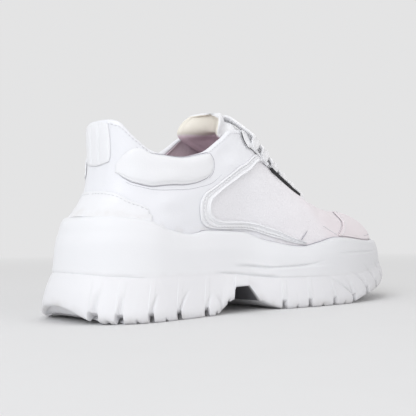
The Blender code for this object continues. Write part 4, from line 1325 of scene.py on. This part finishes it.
def make_sewing():
    """Stitches and seams on both sides, and the seam across the toe; the seams are strips of painted shade.
    """
    for name, side in SIDES:
        outer_way, outer_up, inner_way, inner_up = band_edges(np.linspace(0.02, 0.98, 160))
        for row, b, lift in (("a", 0.30, 1.3 * MM), ("b", 0.86, 1.2 * MM)):
            t = turn(side, outer_way + (inner_way - outer_way) * b)
            up = np.minimum(outer_up + (inner_up - outer_up) * b, edge_share(t, 15.0 * MM))
            stitches(f"band_stitches_{name}_{row}", t, up, lift)
        way = np.linspace(0.105 if side < 0 else 0.150, 0.368, 120)
        low = smooth(COLLAR_PANEL, 1, way) - 0.004
        # Seams from here on are dark strips of painted shade
        seam("collar_seam_" + name, turn(side, way), low, 0.6 * MM, 0.10 * MM)
        way, up = path(COLLAR_SECOND)
        seam("collar_second_seam_" + name, turn(side, way), up, 0.4 * MM, 0.0 * MM)
        way, up = path(COLLAR_FRONT)
        seam("collar_front_seam_" + name, turn(side, way), np.minimum(up, 0.985), 0.5 * MM, 0.05 * MM)
        way, up = path(WAIST, 24)
        seam("waist_seam_" + name, turn(side, way), up, 0.7 * MM, 0.05 * MM)
        way, up = path(VAMP, 24)
        stitches("vamp_stitches_" + name, turn(side, way), up, 0.15 * MM, 2.2 * MM)
        t = turn(side, np.linspace(0.50, 0.93, 140))
        stitches("eyestay_stitches_" + name, t, edge_share(t, 11.2 * MM), 1.62 * MM)
        stitches("eyestay_edge_stitches_" + name, t, edge_share(t, 2.6 * MM), 1.62 * MM)
        way, gap = path(STAY_SHADOW_LINE, 160)
        t = turn(side, way)
        # Black on the outer side, grey on the inner: painted shadow under the eyestay's edge
        shade = black_trim_and_shade if side < 0 else seam_shadow_finish
        seam("eyestay_shadow_line_" + name, t, edge_share(t, gap * MM), 0.9 * MM, 1.35 * MM, shade)
        t = turn(side, np.linspace(0.33, 0.71, 220))
        seam("rim_shadow_" + name, t, rim_share(t) + 0.002, 0.7 * MM, 0.15 * MM)
        t = turn(side, np.linspace(0.01, 0.50, 200))
        stitches("collar_stitches_" + name, t, edge_share(t, 2.6 * MM), 0.25 * MM)
        way = np.linspace(0.006, 0.20, 90)
        stitches("counter_stitches_" + name, turn(side, way), smooth(COUNTER_TOP, 1, way) - 0.022, 1.45 * MM)
        way = np.linspace(0.662, 0.995, 120)
        t, up = turn(side, way), smooth(TOE_CAP_TOP, 1, way)
        stitches("toe_stitches_" + name, t, up - 0.020, 1.45 * MM)
        seam("toe_seam_" + name, t, up + 0.010, 0.6 * MM, 0.06 * MM)
    t = np.linspace(0.785 / 2, 1 - 0.785 / 2, 120)
    seam("toe_tip_seam", t, rim_share(t) + 0.055, 0.6 * MM, 1.42 * MM)


def make_eyelets():
    """Rim of every eyelet, and a black disc in its hole as painted shade inside it."""
    ring = primitive_shape(
        bpy.ops.mesh.primitive_torus_add, (1, 1, 1), major_radius=2.5 * MM, minor_radius=0.45 * MM,
        major_segments=28, minor_segments=8,
    )
    plug = primitive_shape(
        bpy.ops.mesh.primitive_cylinder_add, (1, 1, 1), radius=2.3 * MM, depth=0.5 * MM, vertices=24
    )
    places, away, along = [], [], []
    for way in LACE_WAYS:
        for side in (-1, 1):
            t = turn(side, way)
            point, out = skin(t, edge_share(t, EYELET_INSET), 1.55 * MM)
            ahead, _ = skin(t, edge_share(t, EYELET_INSET - MM), 1.55 * MM)
            places.append(point)
            away.append(out)
            along.append(ahead - point)
    places, away, along = np.array(places), np.array(away), np.array(along)
    copies("eyelet_rims", ring, places, along, away, overlay_leather)
    # Black discs: painted shade inside the eyelet holes
    copies("eyelet_holes", plug, places - away * 0.12 * MM, along, away, black_trim_and_shade)


make_sewing()
make_eyelets()


# Floor, light and camera


BACKDROP = (0.775, 0.775, 0.778, 1)
AMBIENT = 0.68
PAPER = (0.745, 0.745, 0.745)
PAPER_SHADE = (0.73, 0.73, 0.73)
PAPER_ENDS = (0.30, 1.30)
PAPER_RADIUS = 9.0
WALL_RADIUS = 8.9
LAMPS = (
    ("key", (-1.3, -0.5, 0.9), (0.0, 0, 0.05), 1.0, 8.6, (0.93, 0.955, 1.0)),
    ("fill", (0.4, -1.5, 0.7), (0.02, 0, 0.05), 1.2, 3.4, (1.0, 0.955, 0.965)),
    ("top", (0.1, 0.2, 1.4), (0, 0, 0.05), 1.2, 2.6, (1.0, 0.99, 0.99)),
)
CAMERA_PLACE = (-0.3666, -0.3747, 0.049)
CAMERA_LENS = 66.0
CAMERA_TURN = (math.radians(91.9), math.radians(0.59), math.radians(-42.2))


def stage_piece(name, add, finish, **settings):
    bpy.ops.object.select_all(action="DESELECT")
    add(**settings)
    obj = bpy.context.active_object
    obj.name = name
    obj.data.materials.append(finish.material)


def make_stage():
    """Pale paper under the shoe that turns evenly into the pale wall round it."""
    paper = Finish("studio paper", PAPER, 0.95, Specular_IOR_Level=0.0)
    distance = paper.add("VectorMath", {0: paper.place()}, operation="LENGTH").outputs["Value"]
    far = paper.range(distance, *PAPER_ENDS)
    paper.cloud(40.0, 2.0, (0.3, 0.7), 0.3, PAPER_SHADE)
    paper.tint(far, (0.0, 0.0, 0.0))
    paper.shader.inputs["Emission Color"].default_value = BACKDROP
    paper.tree.links.new(far, paper.shader.inputs["Emission Strength"])
    stage_piece(
        "studio_floor", bpy.ops.mesh.primitive_circle_add, paper,
        vertices=96, radius=PAPER_RADIUS, fill_type="NGON",
    )
    plain = Finish("studio wall", (0.0, 0.0, 0.0), 0.95, Specular_IOR_Level=0.0)
    plain.shader.inputs["Emission Color"].default_value = BACKDROP
    plain.shader.inputs["Emission Strength"].default_value = 1.0
    stage_piece(
        "studio_wall", bpy.ops.mesh.primitive_cylinder_add, plain,
        vertices=96, radius=WALL_RADIUS, depth=6.0, location=(0, 0, 2.5), end_fill_type="NOTHING",
    )
    world = bpy.data.worlds.new("studio")
    bpy.context.scene.world = world
    world.use_nodes = True
    background = world.node_tree.nodes["Background"]
    background.inputs["Color"].default_value = (1.0, 1.0, 1.0, 1)
    background.inputs["Strength"].default_value = AMBIENT


def lamp(name, place, aim, size, power, colour):
    """Round soft lamp at a place, aimed at a point."""
    bpy.ops.object.select_all(action="DESELECT")
    bpy.ops.object.light_add(type="AREA", location=place)
    light = bpy.context.active_object
    light.name = name
    light.data.shape = "DISK"
    light.data.size = size
    light.data.energy = power
    light.data.color = colour
    ray = np.array(aim) - np.array(place)
    flat = math.hypot(ray[0], ray[1])
    light.rotation_euler = (math.atan2(flat, -ray[2]), 0, math.atan2(ray[1], ray[0]) - math.pi / 2)


def make_camera():
    bpy.ops.object.select_all(action="DESELECT")
    bpy.ops.object.camera_add(location=CAMERA_PLACE)
    camera = bpy.context.active_object
    camera.name = "photo_camera"
    camera.data.lens = CAMERA_LENS
    camera.data.sensor_width = 36.0
    camera.data.clip_start = 0.01
    camera.rotation_euler = CAMERA_TURN
    bpy.context.scene.camera = camera


make_stage()
for row in LAMPS:
    lamp(*row)
make_camera()
bpy.context.scene.view_settings.view_transform = "Standard"
bpy.ops.object.select_all(action="DESELECT")
